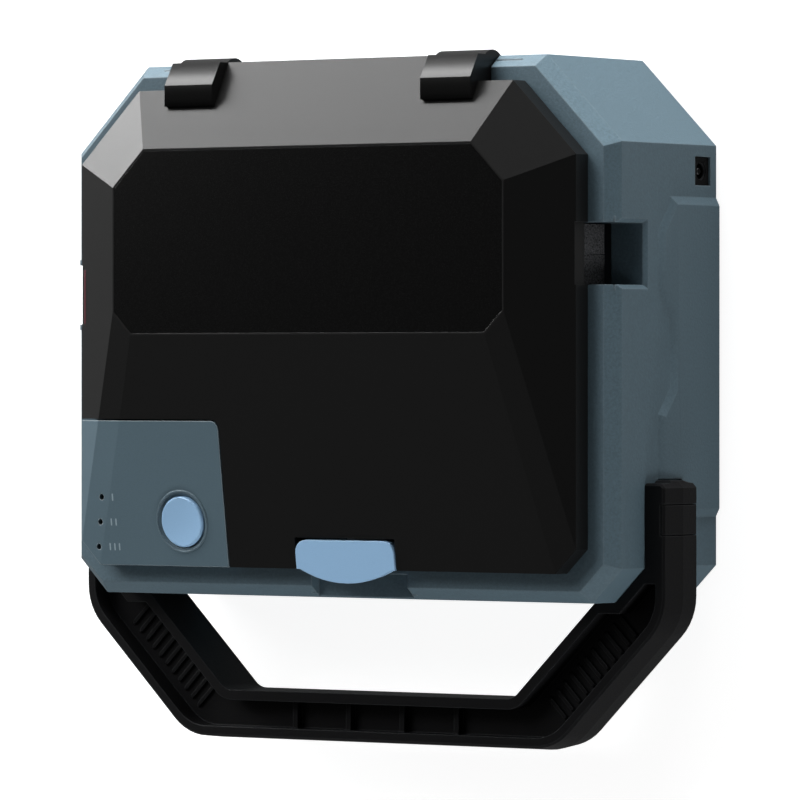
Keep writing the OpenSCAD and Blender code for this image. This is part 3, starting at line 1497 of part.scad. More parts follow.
module handle_caps() {
    color("#17181A") both_sides() {
        box([arm_out - cap_t, handle_screw_y - cap_half + cap_gap, z_arm_low + cap_gap],
            [arm_out, handle_screw_y + cap_half - cap_gap, z_arm_top - cap_gap]);
        box([arm_out - cap_t, handle_screw_y - cap_half + cap_gap, z_handle - ridge_half + handle_ridge],
            [arm_out + handle_ridge, handle_screw_y + cap_half - cap_gap,
                z_handle + ridge_half - handle_ridge]);
    }
}

module handle_screws() {
    from = half_w - wall - screw_boss_l + screw_head_h;
    head = arm_out - cap_t - joint_gap;
    color(steel) both_sides() difference() {
        union() {
            cross_rod(handle_screw_r, from, head - handle_head_h + eps, handle_screw_y, z_handle);
            cross_rod(handle_head_r, head - handle_head_h, head, handle_screw_y, z_handle);
        }
        translate([head - handle_head_h / 2, handle_screw_y, z_handle]) rotate([0, 90, 0])
            cylinder(r = handle_screw_r, h = handle_head_h, $fn = 6);
    }
}

on_table() main_housing();
on_table() back_cover();
on_table() rubber_feet();
on_table() back_screws();
on_table() deck_plate();
on_table() deck_screws();
on_table() control_panel();
on_table() light_pipes();
on_table() button_board();
on_table() power_button();
on_table() main_board();
on_table() board_parts();
on_table() battery_pack();
on_table() dc_jack();
on_table() feed_motor();
on_table() gear_plate();
on_table() fixed_posts();
on_table() motor_pinion();
on_table() feed_idler();
on_table() ribbon_idler();
on_table() platen_gear();
on_table() platen_shaft();
on_table() platen_roller();
on_table() feed_gear();
on_table() feed_shaft();
on_table() feed_roller();
on_table() pinch_lever();
on_table() pinch_roller();
on_table() print_head();
on_table() head_bracket();
on_table() ribbon_film();
on_table() tube_guides();
on_table() cutter_frame();
on_table() cutter_blade();
on_table() cutter_solenoid();
on_table() cassette_shell();
on_table() take_up_gear();
on_table() take_up_spool();
on_table() supply_spool();
on_table() lid_shell();
on_table() lid_window();
on_table() lid_liner();
on_table() lid_screws();
on_table() hinge_arms();
on_table() hinge_pins();
on_table() latch_tab();
on_table() latch_pin();
on_table() latch_striker();
on_table() handle();
on_table() handle_caps();
on_table() handle_screws();
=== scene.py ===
"""Cable label printer, dressed in its finishes and set before the camera of its photograph.

The printer lies on its back in metres: X runs along the tube path, +Y points to the lid's hinge,
+Z out of the lid.
"""
import json
import logging
import math
from dataclasses import dataclass
from enum import Enum
from typing import Any, Sequence

import bmesh
import bpy
from mathutils import Matrix, Vector


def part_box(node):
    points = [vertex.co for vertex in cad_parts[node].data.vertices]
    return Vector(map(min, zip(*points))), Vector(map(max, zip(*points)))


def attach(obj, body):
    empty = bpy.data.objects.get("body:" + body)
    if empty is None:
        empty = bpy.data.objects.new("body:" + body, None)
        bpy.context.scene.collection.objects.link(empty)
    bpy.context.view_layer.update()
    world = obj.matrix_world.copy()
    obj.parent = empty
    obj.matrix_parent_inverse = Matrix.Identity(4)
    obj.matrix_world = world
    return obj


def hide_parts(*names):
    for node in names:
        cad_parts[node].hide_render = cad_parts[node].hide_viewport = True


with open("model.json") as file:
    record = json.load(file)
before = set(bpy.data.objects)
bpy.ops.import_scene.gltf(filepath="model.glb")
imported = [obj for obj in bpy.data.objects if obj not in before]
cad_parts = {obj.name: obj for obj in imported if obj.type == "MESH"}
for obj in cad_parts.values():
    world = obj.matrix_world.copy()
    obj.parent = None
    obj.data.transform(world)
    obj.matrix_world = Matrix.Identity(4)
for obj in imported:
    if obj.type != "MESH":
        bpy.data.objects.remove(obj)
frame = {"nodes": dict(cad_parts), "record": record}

MM = 0.001
LOG = logging.getLogger("label_printer")
Point = tuple[float, float]
Place = tuple[float, float, float]
Material = bpy.types.Material
Mesh = bpy.types.Mesh
Tree = bpy.types.NodeTree
Socket = bpy.types.NodeSocket
Sockets = bpy.types.bpy_prop_collection
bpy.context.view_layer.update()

WHITE = (1.0, 1.0, 1.0, 1.0)
DOWN = Vector((0, 0, -1))
# Metres: a height above everything, points that count as one, and edges that are too short to keep
OVERHEAD = 1.0
SAME_POINT = 2e-6
SHORT_EDGE = 1e-6
# A noise pattern's values that count as its lowest and its highest
NOISE_LOW, NOISE_HIGH = 0.3, 0.7


class Body(Enum):
    """The bodies that the added pieces ride on."""

    PRINTER = "printer"
    LID = "lid"


class Slot(Enum):
    """Names of the material slots for the added pieces."""

    CASE = "case"
    LID = "lid"
    HANDLE = "handle"
    RUBBER = "rubber"
    PARTS = "parts"


def linear(colour: str, gain: float = 1.0) -> tuple[float, float, float, float]:
    """Turns an sRGB hex colour to linear light.

    Args:
        colour: Six hex digits with a leading hash.
        gain: Factor on the linear value.

    Returns:
        Red, green, blue and alpha.
    """
    shares = (int(colour[start:start + 2], 16) / 255 for start in (1, 3, 5))
    lights = (share / 12.92 if share <= 0.04045 else ((share + 0.055) / 1.055) ** 2.4
              for share in shares)
    red, green, blue = (min(1.0, light * gain) for light in lights)
    return red, green, blue, 1.0


def add_node(tree: Tree, kind: str, settings: dict[str, Any] | None = None,
             inputs: dict[Any, Any] | None = None) -> bpy.types.Node:
    """Adds a node with its settings and links.

    Args:
        tree: Node tree that takes the node.
        kind: Blender's name of the node's kind.
        settings: Properties of the node.
        inputs: Values or sockets for the node's inputs, by name or place.

    Returns:
        The new node.
    """
    node = tree.nodes.new(kind)
    for name, value in (settings or {}).items():
        setattr(node, name, value)
    for key, value in (inputs or {}).items():
        if isinstance(value, Socket):
            tree.links.new(value, node.inputs[key])
        else:
            node.inputs[key].default_value = value
    return node


def empty_material(name: str) -> tuple[Material, Tree]:
    """Makes a material with an empty node tree.

    Args:
        name: Name of the material.

    Returns:
        The material and its tree.
    """
    material = bpy.data.materials.new(name)
    material.use_nodes = True
    material.node_tree.nodes.clear()
    return material, material.node_tree


@dataclass(frozen=True)
class Moulded:
    """Injection-moulded plastic, whose steel mould was textured by spark erosion or polished.

    The eye sees a low, even sheen, a fine grain that breaks the highlights, and a painted highlight
    along the edges.
    """

    name: str
    colour: str
    roughness: float
    # Millimetres from grain to grain, and the grain's depth
    grain: float
    relief: float
    # Share by which the colour drifts, and the millimetres that a drift takes
    drift: float = 0.05
    drift_reach: float = 40.0
    # Radius of the moulded edges in millimetres, and how much paler the edges are painted, as a
    # painted highlight
    edge: float = 0.5
    painted_edge_highlight: float = 0.12
    painted_highlight_colour: str = "#C8D0D4"
    # Cosine between a face and its rounded edge where the painted edge highlight starts and where
    # it is full
    painted_highlight_starts: float = 0.995
    painted_highlight_full: float = 0.88
    # How the grain speckles the colour, for each millimetre of relief, and swings the roughness
    speckle: float = 1.6
    swing: float = 0.05
    specular: float = 0.5
    coat: float = 0.0

    def build(self) -> Material:
        """Builds the material.

        Returns:
            The finished material.
        """
        material, tree = empty_material(self.name)
        place = add_node(tree, "ShaderNodeTexCoord").outputs["Object"]
        cloud = add_node(tree, "ShaderNodeTexNoise", {}, {
            "Vector": place, "Scale": 1 / (self.drift_reach * MM), "Detail": 3.0,
            "Roughness": 0.6}).outputs["Fac"]
        grain = add_node(tree, "ShaderNodeTexNoise", {}, {
            "Vector": place, "Scale": 1 / (self.grain * MM), "Detail": 2.0,
            "Roughness": 0.7}).outputs["Fac"]
        rounded = add_node(tree, "ShaderNodeBevel", {"samples": 6}, {
            "Radius": self.edge * MM}).outputs["Normal"]
        flat = add_node(tree, "ShaderNodeNewGeometry").outputs["Normal"]
        straight = add_node(tree, "ShaderNodeVectorMath", {"operation": "DOT_PRODUCT"}, {
            0: rounded, 1: flat}).outputs["Value"]
        # Painted highlight: how far a point lies on a rounded edge sets how much paler it is
        # painted
        edge = add_node(tree, "ShaderNodeMapRange", {}, {
            "Value": straight, "From Min": self.painted_highlight_starts, "From Max": self.painted_highlight_full,
            "To Min": 0.0, "To Max": self.painted_edge_highlight}).outputs["Result"]
        base = add_node(tree, "ShaderNodeMix", {"data_type": "RGBA"}, {
            0: cloud, 6: linear(self.colour, 1 - self.drift),
            7: linear(self.colour, 1 + self.drift)})
        speckle = self.relief * self.speckle
        specks = add_node(tree, "ShaderNodeMapRange", {}, {
            "Value": grain, "From Min": NOISE_LOW, "From Max": NOISE_HIGH, "To Min": 1 - speckle,
            "To Max": 1 + speckle}).outputs["Result"]
        speckled = add_node(tree, "ShaderNodeMix", {
            "data_type": "RGBA", "blend_type": "MULTIPLY"}, {
                0: 1.0, 6: base.outputs[2], 7: specks})
        # Painted highlight: the rounded edges are mixed towards a pale grey
        highlighted_edges = add_node(tree, "ShaderNodeMix", {"data_type": "RGBA"}, {
            0: edge, 6: speckled.outputs[2], 7: linear(self.painted_highlight_colour)})
        dull = add_node(tree, "ShaderNodeMapRange", {}, {
            "Value": grain, "From Min": NOISE_LOW, "From Max": NOISE_HIGH,
            "To Min": self.roughness - self.swing,
            "To Max": self.roughness + self.swing}).outputs["Result"]
        bump = add_node(tree, "ShaderNodeBump", {}, {
            "Strength": 1.0, "Distance": self.relief * MM, "Height": grain,
            "Normal": rounded}).outputs["Normal"]
        shader = add_node(tree, "ShaderNodeBsdfPrincipled", {}, {
            "Base Color": highlighted_edges.outputs[2], "Roughness": dull, "Normal": bump, "IOR": 1.5,
            "Specular IOR Level": self.specular, "Coat Weight": self.coat})
        add_node(tree, "ShaderNodeOutputMaterial", {}, {"Surface": shader.outputs[0]})
        return material


@dataclass(frozen=True)
class Metal:
    """Sheet or turned metal, with the fine lines of its rolling or turning.

    The eye sees a bright grey that is streaked along one direction.
    """

    name: str
    colour: str
    roughness: float
    # Millimetres between lines, and how closely they follow each other along each axis
    line: float = 0.6
    stretch: Place = (0.05, 1.0, 1.0)
    # Depth of a line in millimetres, and the colour's gain in and between the lines
    depth: float = 0.02
    gains: Point = (0.86, 1.1)
    swing: float = 0.06
    edge: float = 0.2
    # The skin of zinc or oxide scatters the rest of the light
    metallic: float = 0.75

    def build(self) -> Material:
        """Builds the material.

        Returns:
            The finished material.
        """
        material, tree = empty_material(self.name)
        place = add_node(tree, "ShaderNodeTexCoord").outputs["Object"]
        drawn = add_node(tree, "ShaderNodeMapping", {}, {
            "Vector": place, "Scale": self.stretch}).outputs[0]
        lines = add_node(tree, "ShaderNodeTexNoise", {}, {
            "Vector": drawn, "Scale": 1 / (self.line * MM), "Detail": 3.0,
            "Roughness": 0.7}).outputs["Fac"]
        rounded = add_node(tree, "ShaderNodeBevel", {"samples": 4}, {
            "Radius": self.edge * MM}).outputs["Normal"]
        bump = add_node(tree, "ShaderNodeBump", {}, {
            "Strength": 0.5, "Distance": self.depth * MM, "Height": lines,
            "Normal": rounded}).outputs["Normal"]
        tone = add_node(tree, "ShaderNodeMix", {"data_type": "RGBA"}, {
            0: lines, 6: linear(self.colour, self.gains[0]), 7: linear(self.colour, self.gains[1])})
        dull = add_node(tree, "ShaderNodeMapRange", {}, {
            "Value": lines, "From Min": NOISE_LOW, "From Max": NOISE_HIGH,
            "To Min": self.roughness - self.swing,
            "To Max": self.roughness + self.swing}).outputs["Result"]
        shader = add_node(tree, "ShaderNodeBsdfPrincipled", {}, {
            "Base Color": tone.outputs[2], "Metallic": self.metallic, "Roughness": dull,
            "Normal": bump})
        add_node(tree, "ShaderNodeOutputMaterial", {}, {"Surface": shader.outputs[0]})
        return material


@dataclass(frozen=True)
class SolderMask:
    """Glass-fibre board under green solder mask.

    The eye sees a deep green with a wet sheen and the copper tracks faint beneath it.
    """

    name: str = "board_green_solder_mask"
    mask: str = "#14472C"
    track: str = "#226B41"
    # Millimetres from track to track, and how far a track stands proud
    pitch: float = 2.4
    rise: float = 0.04
    # Length and width of the fields between tracks, and width of a track, in pitches
    field_length: float = 4.0
    field_width: float = 0.5
    track_width: float = 0.05
    stagger: float = 0.37
    gain: float = 1.12

    def build(self) -> Material:
        """Builds the material.

        Returns:
            The finished material.
        """
        material, tree = empty_material(self.name)
        place = add_node(tree, "ShaderNodeTexCoord").outputs["Object"]
        tracks = add_node(tree, "ShaderNodeTexBrick", {"offset": self.stagger}, {
            "Vector": place, "Scale": 1 / (self.pitch * MM), "Mortar Size": self.track_width,
            "Mortar Smooth": 0.2, "Brick Width": self.field_length, "Row Height": self.field_width,
            "Color1": linear(self.mask), "Color2": linear(self.mask, self.gain),
            "Mortar": linear(self.track)})
        bump = add_node(tree, "ShaderNodeBump", {}, {
            "Strength": 0.6, "Distance": self.rise * MM,
            "Height": tracks.outputs["Fac"]}).outputs["Normal"]
        shader = add_node(tree, "ShaderNodeBsdfPrincipled", {}, {
            "Base Color": tracks.outputs["Color"], "Roughness": 0.35, "Normal": bump,
            "Coat Weight": 0.3})
        add_node(tree, "ShaderNodeOutputMaterial", {}, {"Surface": shader.outputs[0]})
        return material


class Finish(Enum):
    """The printer's finishes, with what each shows the eye.

    After its name and colour, a moulded one gives its roughness, the millimetres from grain to
    grain, and the grain's depth.
    """

    # PC-ABS out of a spark-eroded mould: dull slate blue, whose grain shows on the wide sides
    CASE = Moulded("case_pc_abs_textured", "#4A5B64", 0.5, 0.9, 0.09, drift=0.04, edge=0.7,
                   painted_edge_highlight=0.10, specular=0.45)
    # The same plastic with a finer grain: smoother than the sides, with a stronger painted
    # highlight along its edges
    PANEL = Moulded("panel_pc_abs_fine_grain", "#4A5B64", 0.48, 0.45, 0.04, drift=0.03, edge=0.5,
                    painted_edge_highlight=0.3, specular=0.3)
    # ABS out of a fine-ground mould: black, with a satin sheen that tells the facets apart
    LID = Moulded("lid_abs_satin_black", "#101010", 0.34, 0.4, 0.02, drift=0.04, edge=0.15,
                  painted_edge_highlight=0.01, specular=0.4)
    # Acrylic out of a polished mould: a deeper black than the lid, with a clearer sheen
    WINDOW = Moulded("window_acrylic_black", "#030303", 0.25, 0.3, 0.002, drift=0.02, edge=0.1,
                     painted_edge_highlight=0.0, specular=0.3)
    # Dyed ABS of the two pieces that are touched: a soft, even pale blue
    ACCENT = Moulded("accent_abs_pale_blue", "#86A9C9", 0.42, 0.35, 0.02, drift=0.02, edge=0.5,
                     painted_edge_highlight=0.10)
    # Glass-filled nylon: dry black, with a coarse grain for grip
    HANDLE = Moulded("handle_nylon_black", "#111112", 0.46, 0.8, 0.05, drift=0.08, edge=0.5,
                     painted_edge_highlight=0.03, specular=0.18)
    # Moulded acetal: the dark, even grey of the deck and the cassette
    CHASSIS = Moulded("chassis_pom_dark", "#3C4248", 0.5, 0.6, 0.03, edge=0.3, painted_edge_highlight=0.05)
    # Moulded nylon: a dry grey, a little cloudy
    GUIDE = Moulded("guide_nylon_grey", "#4A4C4E", 0.6, 0.7, 0.05, drift=0.1, edge=0.2, painted_edge_highlight=0.03,
                    specular=0.2)
    # Cut foam: no sheen at all, and pores that are drawn as coarse as they need to show
    SPONGE = Moulded("sponge_pu_foam_grey", "#4B4C4E", 0.8, 0.6, 0.5, drift=0.1, edge=0.2, painted_edge_highlight=0.0,
                     specular=0.1)
    # Moulded rubber: black and matt
    RUBBER = Moulded("foot_rubber_black", "#151515", 0.75, 0.5, 0.04, drift=0.1, edge=0.3,
                     painted_edge_highlight=0.02, specular=0.3)
    # Ground silicone rubber: soft grey, with hardly a sheen
    ROLLER = Moulded("roller_silicone_grey", "#47494B", 0.68, 0.5, 0.03, drift=0.08, edge=0.3,
                     painted_edge_highlight=0.02, specular=0.3)
    # Moulded acetal, undyed: milky white and waxy
    GEAR = Moulded("gear_acetal_white", "#E3E0D6", 0.36, 1.2, 0.01, drift=0.03, edge=0.2, painted_edge_highlight=0.0)
    # Zinc-plated sheet: bright grey, streaked by the rolling
    STEEL = Metal("steel_zinc_plated", "#C2C5C8", 0.34)
    # Ground steel: brighter and sharper, with fine rings round the shaft
    TURNED = Metal("steel_ground_shaft", "#D0D2D4", 0.2, line=0.4, stretch=(1.0, 1.0, 0.15),
                   metallic=0.9)
    # Extruded aluminium: pale grey, streaked along the bar
    ALUMINIUM = Metal("aluminium_extruded", "#CDD1D4", 0.36, stretch=(1.0, 1.0, 0.05))
    BOARD = SolderMask()
    # Moulded PBT: dull black
    JACK = Moulded("jack_pbt_black", "#0C0C0D", 0.55, 0.6, 0.02, edge=0.2, painted_edge_highlight=0.02, specular=0.15)
    # Pad-printed ink: flat pale grey
    PRINT = Moulded("marks_pad_printed_grey", "#7C8B93", 0.6, 0.8, 0.01, edge=0.02, painted_edge_highlight=0.0)
    # Moulded elastomer: a dark red line in the cut of the lid's left edge
    LINING = Moulded("lining_tpe_dark_red", "#451A20", 0.5, 0.8, 0.02, edge=0.1, painted_edge_highlight=0.0,
                     specular=0.3)
    # Moulded epoxy of the board's parts: near black
    PARTS = Moulded("parts_epoxy_black", "#1B1C1E", 0.45, 0.5, 0.02, edge=0.15, painted_edge_highlight=0.02)
    # Shrunk PVC sleeve: glossy blue that follows the cells
    WRAP = Moulded("wrap_pvc_blue", "#2F66A8", 0.3, 3.0, 0.02, drift=0.06, edge=0.4, painted_edge_highlight=0.05,
                   coat=0.2)
    # Coated polyester film: ink black, glossy
    RIBBON = Moulded("ribbon_film_black", "#0E0F11", 0.22, 2.0, 0.01, drift=0.02, edge=0.1,
                     painted_edge_highlight=0.0)
    # Smoked acrylic, polished: a dark glassy dot
    PIPE = Moulded("pipe_smoked_acrylic", "#15181B", 0.18, 2.0, 0.01, edge=0.2, painted_edge_highlight=0.0)


# Degrees: faces that meet at less are shaded as one curve. A flat piece needs no copy
FLAT, BAR, CURVED = 0, 25, 32

# Each piece's finish, and the angle that its copy is shaded below. The housing, the hinge arms and
# the handle have angles of their own, which keep their facets apart
DRESS: dict[str, tuple[Finish, float]] = {
    "main_housing": (Finish.CASE, 5), "back_cover": (Finish.CASE, FLAT),
    "control_panel": (Finish.PANEL, FLAT), "rubber_feet": (Finish.RUBBER, CURVED),
    "back_screws": (Finish.STEEL, CURVED), "deck_plate": (Finish.CHASSIS, FLAT),
    "deck_screws": (Finish.STEEL, CURVED), "light_pipes": (Finish.PIPE, CURVED),
    "button_board": (Finish.BOARD, FLAT), "power_button": (Finish.ACCENT, CURVED),
    "main_board": (Finish.BOARD, FLAT), "board_parts": (Finish.PARTS, CURVED),
    "battery_pack": (Finish.WRAP, CURVED), "dc_jack": (Finish.JACK, CURVED),
    "feed_motor": (Finish.STEEL, CURVED), "gear_plate": (Finish.STEEL, FLAT),
    "fixed_posts": (Finish.TURNED, CURVED), "motor_pinion": (Finish.GEAR, FLAT),
    "feed_idler": (Finish.GEAR, FLAT), "ribbon_idler": (Finish.GEAR, FLAT),
    "platen_gear": (Finish.GEAR, FLAT), "feed_gear": (Finish.GEAR, FLAT),
    "take_up_gear": (Finish.GEAR, FLAT), "platen_shaft": (Finish.TURNED, CURVED),
    "feed_shaft": (Finish.TURNED, CURVED), "platen_roller": (Finish.ROLLER, CURVED),
    "feed_roller": (Finish.ROLLER, CURVED), "pinch_roller": (Finish.ROLLER, CURVED),
    "pinch_lever": (Finish.STEEL, CURVED), "print_head": (Finish.ALUMINIUM, FLAT),
    "head_bracket": (Finish.STEEL, FLAT), "ribbon_film": (Finish.RIBBON, FLAT),
    "tube_guides": (Finish.GUIDE, CURVED), "cutter_frame": (Finish.STEEL, FLAT),
    "cutter_blade": (Finish.TURNED, CURVED), "cutter_solenoid": (Finish.STEEL, FLAT),
    "cassette_shell": (Finish.CHASSIS, CURVED), "take_up_spool": (Finish.RIBBON, CURVED),
    "supply_spool": (Finish.RIBBON, CURVED), "lid_shell": (Finish.LID, FLAT),
    "lid_window": (Finish.WINDOW, FLAT), "lid_liner": (Finish.LID, FLAT),
    "lid_screws": (Finish.STEEL, CURVED), "hinge_arms": (Finish.LID, 30),
    "hinge_pins": (Finish.TURNED, CURVED), "latch_tab": (Finish.ACCENT, CURVED),
    "latch_pin": (Finish.TURNED, CURVED), "latch_striker": (Finish.STEEL, FLAT),
    "handle": (Finish.HANDLE, 9.6), "handle_screws": (Finish.STEEL, CURVED),
}


class Finishes:
    """Builds each finish once and hands it out."""

    def __init__(self) -> None:
        """Starts with nothing built."""
        self._built: dict[Finish, Material] = {}

    def get(self, finish: Finish) -> Material:
        """Hands out a finish.

        Args:
            finish: The finish that is wanted.

        Returns:
            The built material.
        """
        if finish not in self._built:
            self._built[finish] = finish.value.build()
        return self._built[finish]


def as_object(name: str, mesh: Mesh, material: Material,
              smooth_below: float) -> bpy.types.Object:
    """Makes an object at the origin out of a finished mesh.

    Args:
        name: Name of the piece.
        mesh: Its mesh, with its place in its points.
        material: Its finish.
        smooth_below: Faces that meet at fewer degrees are shaded as one.

    Returns:
        The new object.
    """
    mesh.materials.clear()
    mesh.materials.append(material)
    mesh.polygons.foreach_set("material_index", [0] * len(mesh.polygons))
    mesh.shade_smooth()
    mesh.set_sharp_from_angle(angle=math.radians(smooth_below))
    piece = bpy.data.objects.new(name, mesh)
    bpy.context.scene.collection.objects.link(piece)
    return piece


def settle(piece: bpy.types.Object, body: Body) -> None:
    """Lets a piece ride on its body.

    Args:
        piece: The finished piece.
        body: The body it moves with.
    """
    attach(piece, body.value)
    LOG.info("%s rides on %s, %d faces", piece.name, body.value, len(piece.data.polygons))


def as_mesh(name: str, bm: bmesh.types.BMesh) -> Mesh:
    """Turns a worked shape into a mesh and lets go of the shape.

    Args:
        name: Name of the mesh.
        bm: The worked shape.

    Returns:
        The new mesh.
    """
    mesh = bpy.data.meshes.new(name)
    bm.to_mesh(mesh)
    bm.free()
    return mesh


def lathe(name: str, profile: Sequence[Point], centre: Vector, axis: Vector,
          steps: int) -> Mesh:
    """Turns a closed profile round an axis.

    Args:
        name: Name of the mesh.
        profile: Distances from the axis and along it, in millimetres.
        centre: Origin of the profile, in metres.
        axis: Direction of the axis.
        steps: Faces round the axis.

    Returns:
        The closed mesh.
    """
    turn = Vector((0, 0, 1)).rotation_difference(axis.normalized()).to_matrix().to_4x4()
    angles = [2 * math.pi * i / steps for i in range(steps)]
    bm = bmesh.new()
    rings = [[bm.verts.new((radius * MM * math.cos(a), radius * MM * math.sin(a), height * MM))
              for a in angles] for radius, height in profile]
    for one, two in zip(rings, rings[1:] + rings[:1]):
        for i in range(steps):
            j = (i + 1) % steps
            bm.faces.new((one[i], one[j], two[j], two[i]))
    bmesh.ops.recalc_face_normals(bm, faces=bm.faces)
    bm.transform(Matrix.Translation(centre) @ turn)
    return as_mesh(name, bm)


def landing(node: str, x: float, y: float) -> tuple[Vector, Vector]:
    """Finds where a plumb line meets a piece from above.

    Args:
        node: Name of the piece.
        x: Place of the line in metres.
        y: Place of the line in metres.

    Returns:
        The place on the piece and the direction out of its face.

    Raises:
        ValueError: If the line misses the piece.
    """
    hit, place, normal, _ = frame["nodes"][node].ray_cast(Vector((x, y, OVERHEAD)), DOWN)
    if not hit:
        raise ValueError(f"the line at {x}, {y} misses {node}")
    return place, normal


def across(normal: Vector) -> Vector:
    """Finds the direction on a slope that runs along the printer's width.

    Args:
        normal: Direction out of the slope.

    Returns:
        The direction, one metre long.
    """
    return (Vector((1, 0, 0)) - normal * normal.x).normalized()


def lying_on(normal: Vector) -> tuple[float, ...]:
    """Finds the turn that lays a flat piece on a slope, with its length along the printer's width.

    Args:
        normal: Direction out of the slope.

    Returns:
        The turn in radians.
    """
    along = across(normal)
    return tuple(Matrix((along, normal.cross(along), normal)).transposed().to_euler())


@dataclass(frozen=True)
class HandleRim:
    """Shapes the handle's rim as a shallow roof, and slants the outer corners of its arms' ends.

    The lengths are those of the handle's solid, in millimetres.
    """

    # The rim's band and its foot above the middle, and the edge's bevel
    band: float = 3.6
    foot: float = 4.5
    bevel: float = 0.8
    # Middle of the round at an arm's end, and how far beyond it the end's own points lie
    corner: Point = (122.9, -29.55)
    edge_step: float = 0.1
    slack: float = 0.02

    def shape(self, bm: bmesh.types.BMesh) -> None:
        """Moves the rim's points.

        Args:
            bm: The handle's merged copy.
        """
        heights = [vert.co.z / MM for vert in bm.verts]
        low, high = min(heights), max(heights)
        middle, eave = (low + high) / 2, (high - low) / 2 - self.bevel
        for vert in bm.verts:
            off = vert.co.z / MM - middle
            out, up = abs(vert.co.x) / MM - self.corner[0], vert.co.y / MM - self.corner[1]
            if out < self.edge_step and up > 0:
                continue
            if abs(abs(off) - self.band) < self.slack:
                vert.co.z = middle * MM
            elif abs(abs(off) - self.foot) < self.slack:
                vert.co.z = (middle + math.copysign(eave, off)) * MM
            if min(out, up) > self.slack:
                share = math.hypot(out, up) / (out + up)
                vert.co.x = math.copysign((self.corner[0] + out * share) * MM, vert.co.x)
                vert.co.y = (self.corner[1] + up * share) * MM
        bmesh.ops.remove_doubles(bm, verts=bm.verts, dist=SAME_POINT)
        bmesh.ops.dissolve_degenerate(bm, edges=bm.edges, dist=SHORT_EDGE)


@dataclass(frozen=True)
class ButtonDish:
    """Turns the button's dome into a shallow dish with a rounded lip, for the finger."""

    # Millimetres: height of the straight skirt, the lip above it, and the dish below the lip
    skirt: float = 4.0
    lip: float = 0.55
    depth: float = 0.75
    slack: float = 0.02

    def shape(self, bm: bmesh.types.BMesh) -> None:
        """Moves the dome's points along the button's axis.

        Args:
            bm: The button's merged copy.
        """
        base = max(bm.faces, key=lambda face: face.calc_area())
        axis = -base.normal
        foot = min(vert.co.dot(axis) for vert in bm.verts)
        ring = [vert.co for vert in bm.verts if vert.co.dot(axis) < foot + self.slack * MM]
        centre = sum(ring, Vector()) / len(ring)
        heights = {vert: (vert.co - centre).dot(axis) for vert in bm.verts}
        arms = {vert: (vert.co - centre) - axis * height for vert, height in heights.items()}
        dome = [vert for vert, height in heights.items() if height > (self.skirt + self.slack) * MM]
        widest = max(arms[vert].length for vert in dome)
        for vert in dome:
            share = arms[vert].length / widest
            rise = self.skirt + self.lip - self.depth * (1 - share ** 2)
            vert.co = centre + arms[vert] + axis * rise * MM


@dataclass(frozen=True)
class SidePads:
    """Carries the raised pads on the housing's sides down to its back edge."""

    # Millimetres: the side's distance from the middle, and the heights of the pad's foot and face
    # at its back end, in the housing's solid and as they get here
    side: float = 116.4
    foot: float = 5.2
    face: float = 8.0
    new_foot: float = 2.05
    new_face: float = 2.2
    slack: float = 0.02

    def shape(self, bm: bmesh.types.BMesh) -> None:
        """Moves the points of the pads' back ends.

        Args:
            bm: The housing's merged copy.
        """
        for vert in bm.verts:
            if abs(vert.co.x) / MM > self.side - self.slack:
                for old, new in ((self.foot, self.new_foot), (self.face, self.new_face)):
                    if abs(vert.co.z / MM - old) < self.slack:
                        vert.co.z = new * MM


class SolidDresser:
    """Gives every solid piece its finish, and the curved ones a smoothly shaded copy."""

    # Degrees: faces that meet more flatly than this are one face
    level: float = 0.4

    def __init__(self, finishes: Finishes) -> None:
        """Looks up each piece's slot and body.

        Args:
            finishes: Source of the materials.
        """
        record = frame["record"]
        self.finishes = finishes
        self.slots = {part["node"]: part["material_slot"] for part in record["subparts"]}
        self.bodies = {node: body for body, nodes in record["behaviour"]["bodies"].items()
                       for node in nodes}
        self.shapers: dict[str, HandleRim | ButtonDish | SidePads] = {
            "handle": HandleRim(), "power_button": ButtonDish(), "main_housing": SidePads()}

    def smooth_copy(self, node: str, material: Material, smooth_below: float) -> None:
        """Copies a piece, joins its loose triangles and shades its curves as curves.

        Args:
            node: Name of the piece, which the copy stands for.
            material: Its finish.
            smooth_below: Faces that meet at fewer degrees are shaded as one.
        """
        bm = bmesh.new()
        bm.from_mesh(frame["nodes"][node].data)
        bmesh.ops.remove_doubles(bm, verts=bm.verts, dist=SAME_POINT)
        if node in self.shapers:
            self.shapers[node].shape(bm)
        bmesh.ops.dissolve_limit(bm, angle_limit=math.radians(self.level), verts=bm.verts,
                                 edges=bm.edges)
        name = node + "_smooth"
        piece = as_object(name, as_mesh(name, bm), material, smooth_below)
        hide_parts(node)
        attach(piece, self.bodies[node])

    def dress(self) -> None:
        """Dresses every piece."""
        for node, (finish, smooth_below) in DRESS.items():
            material = self.finishes.get(finish)
            if smooth_below:
                self.smooth_copy(node, material, smooth_below)
            else:
                materials = frame["nodes"][node].data.materials
                materials.clear()
                materials.append(material)
            LOG.info("%s is dressed in %s", node, material.name)


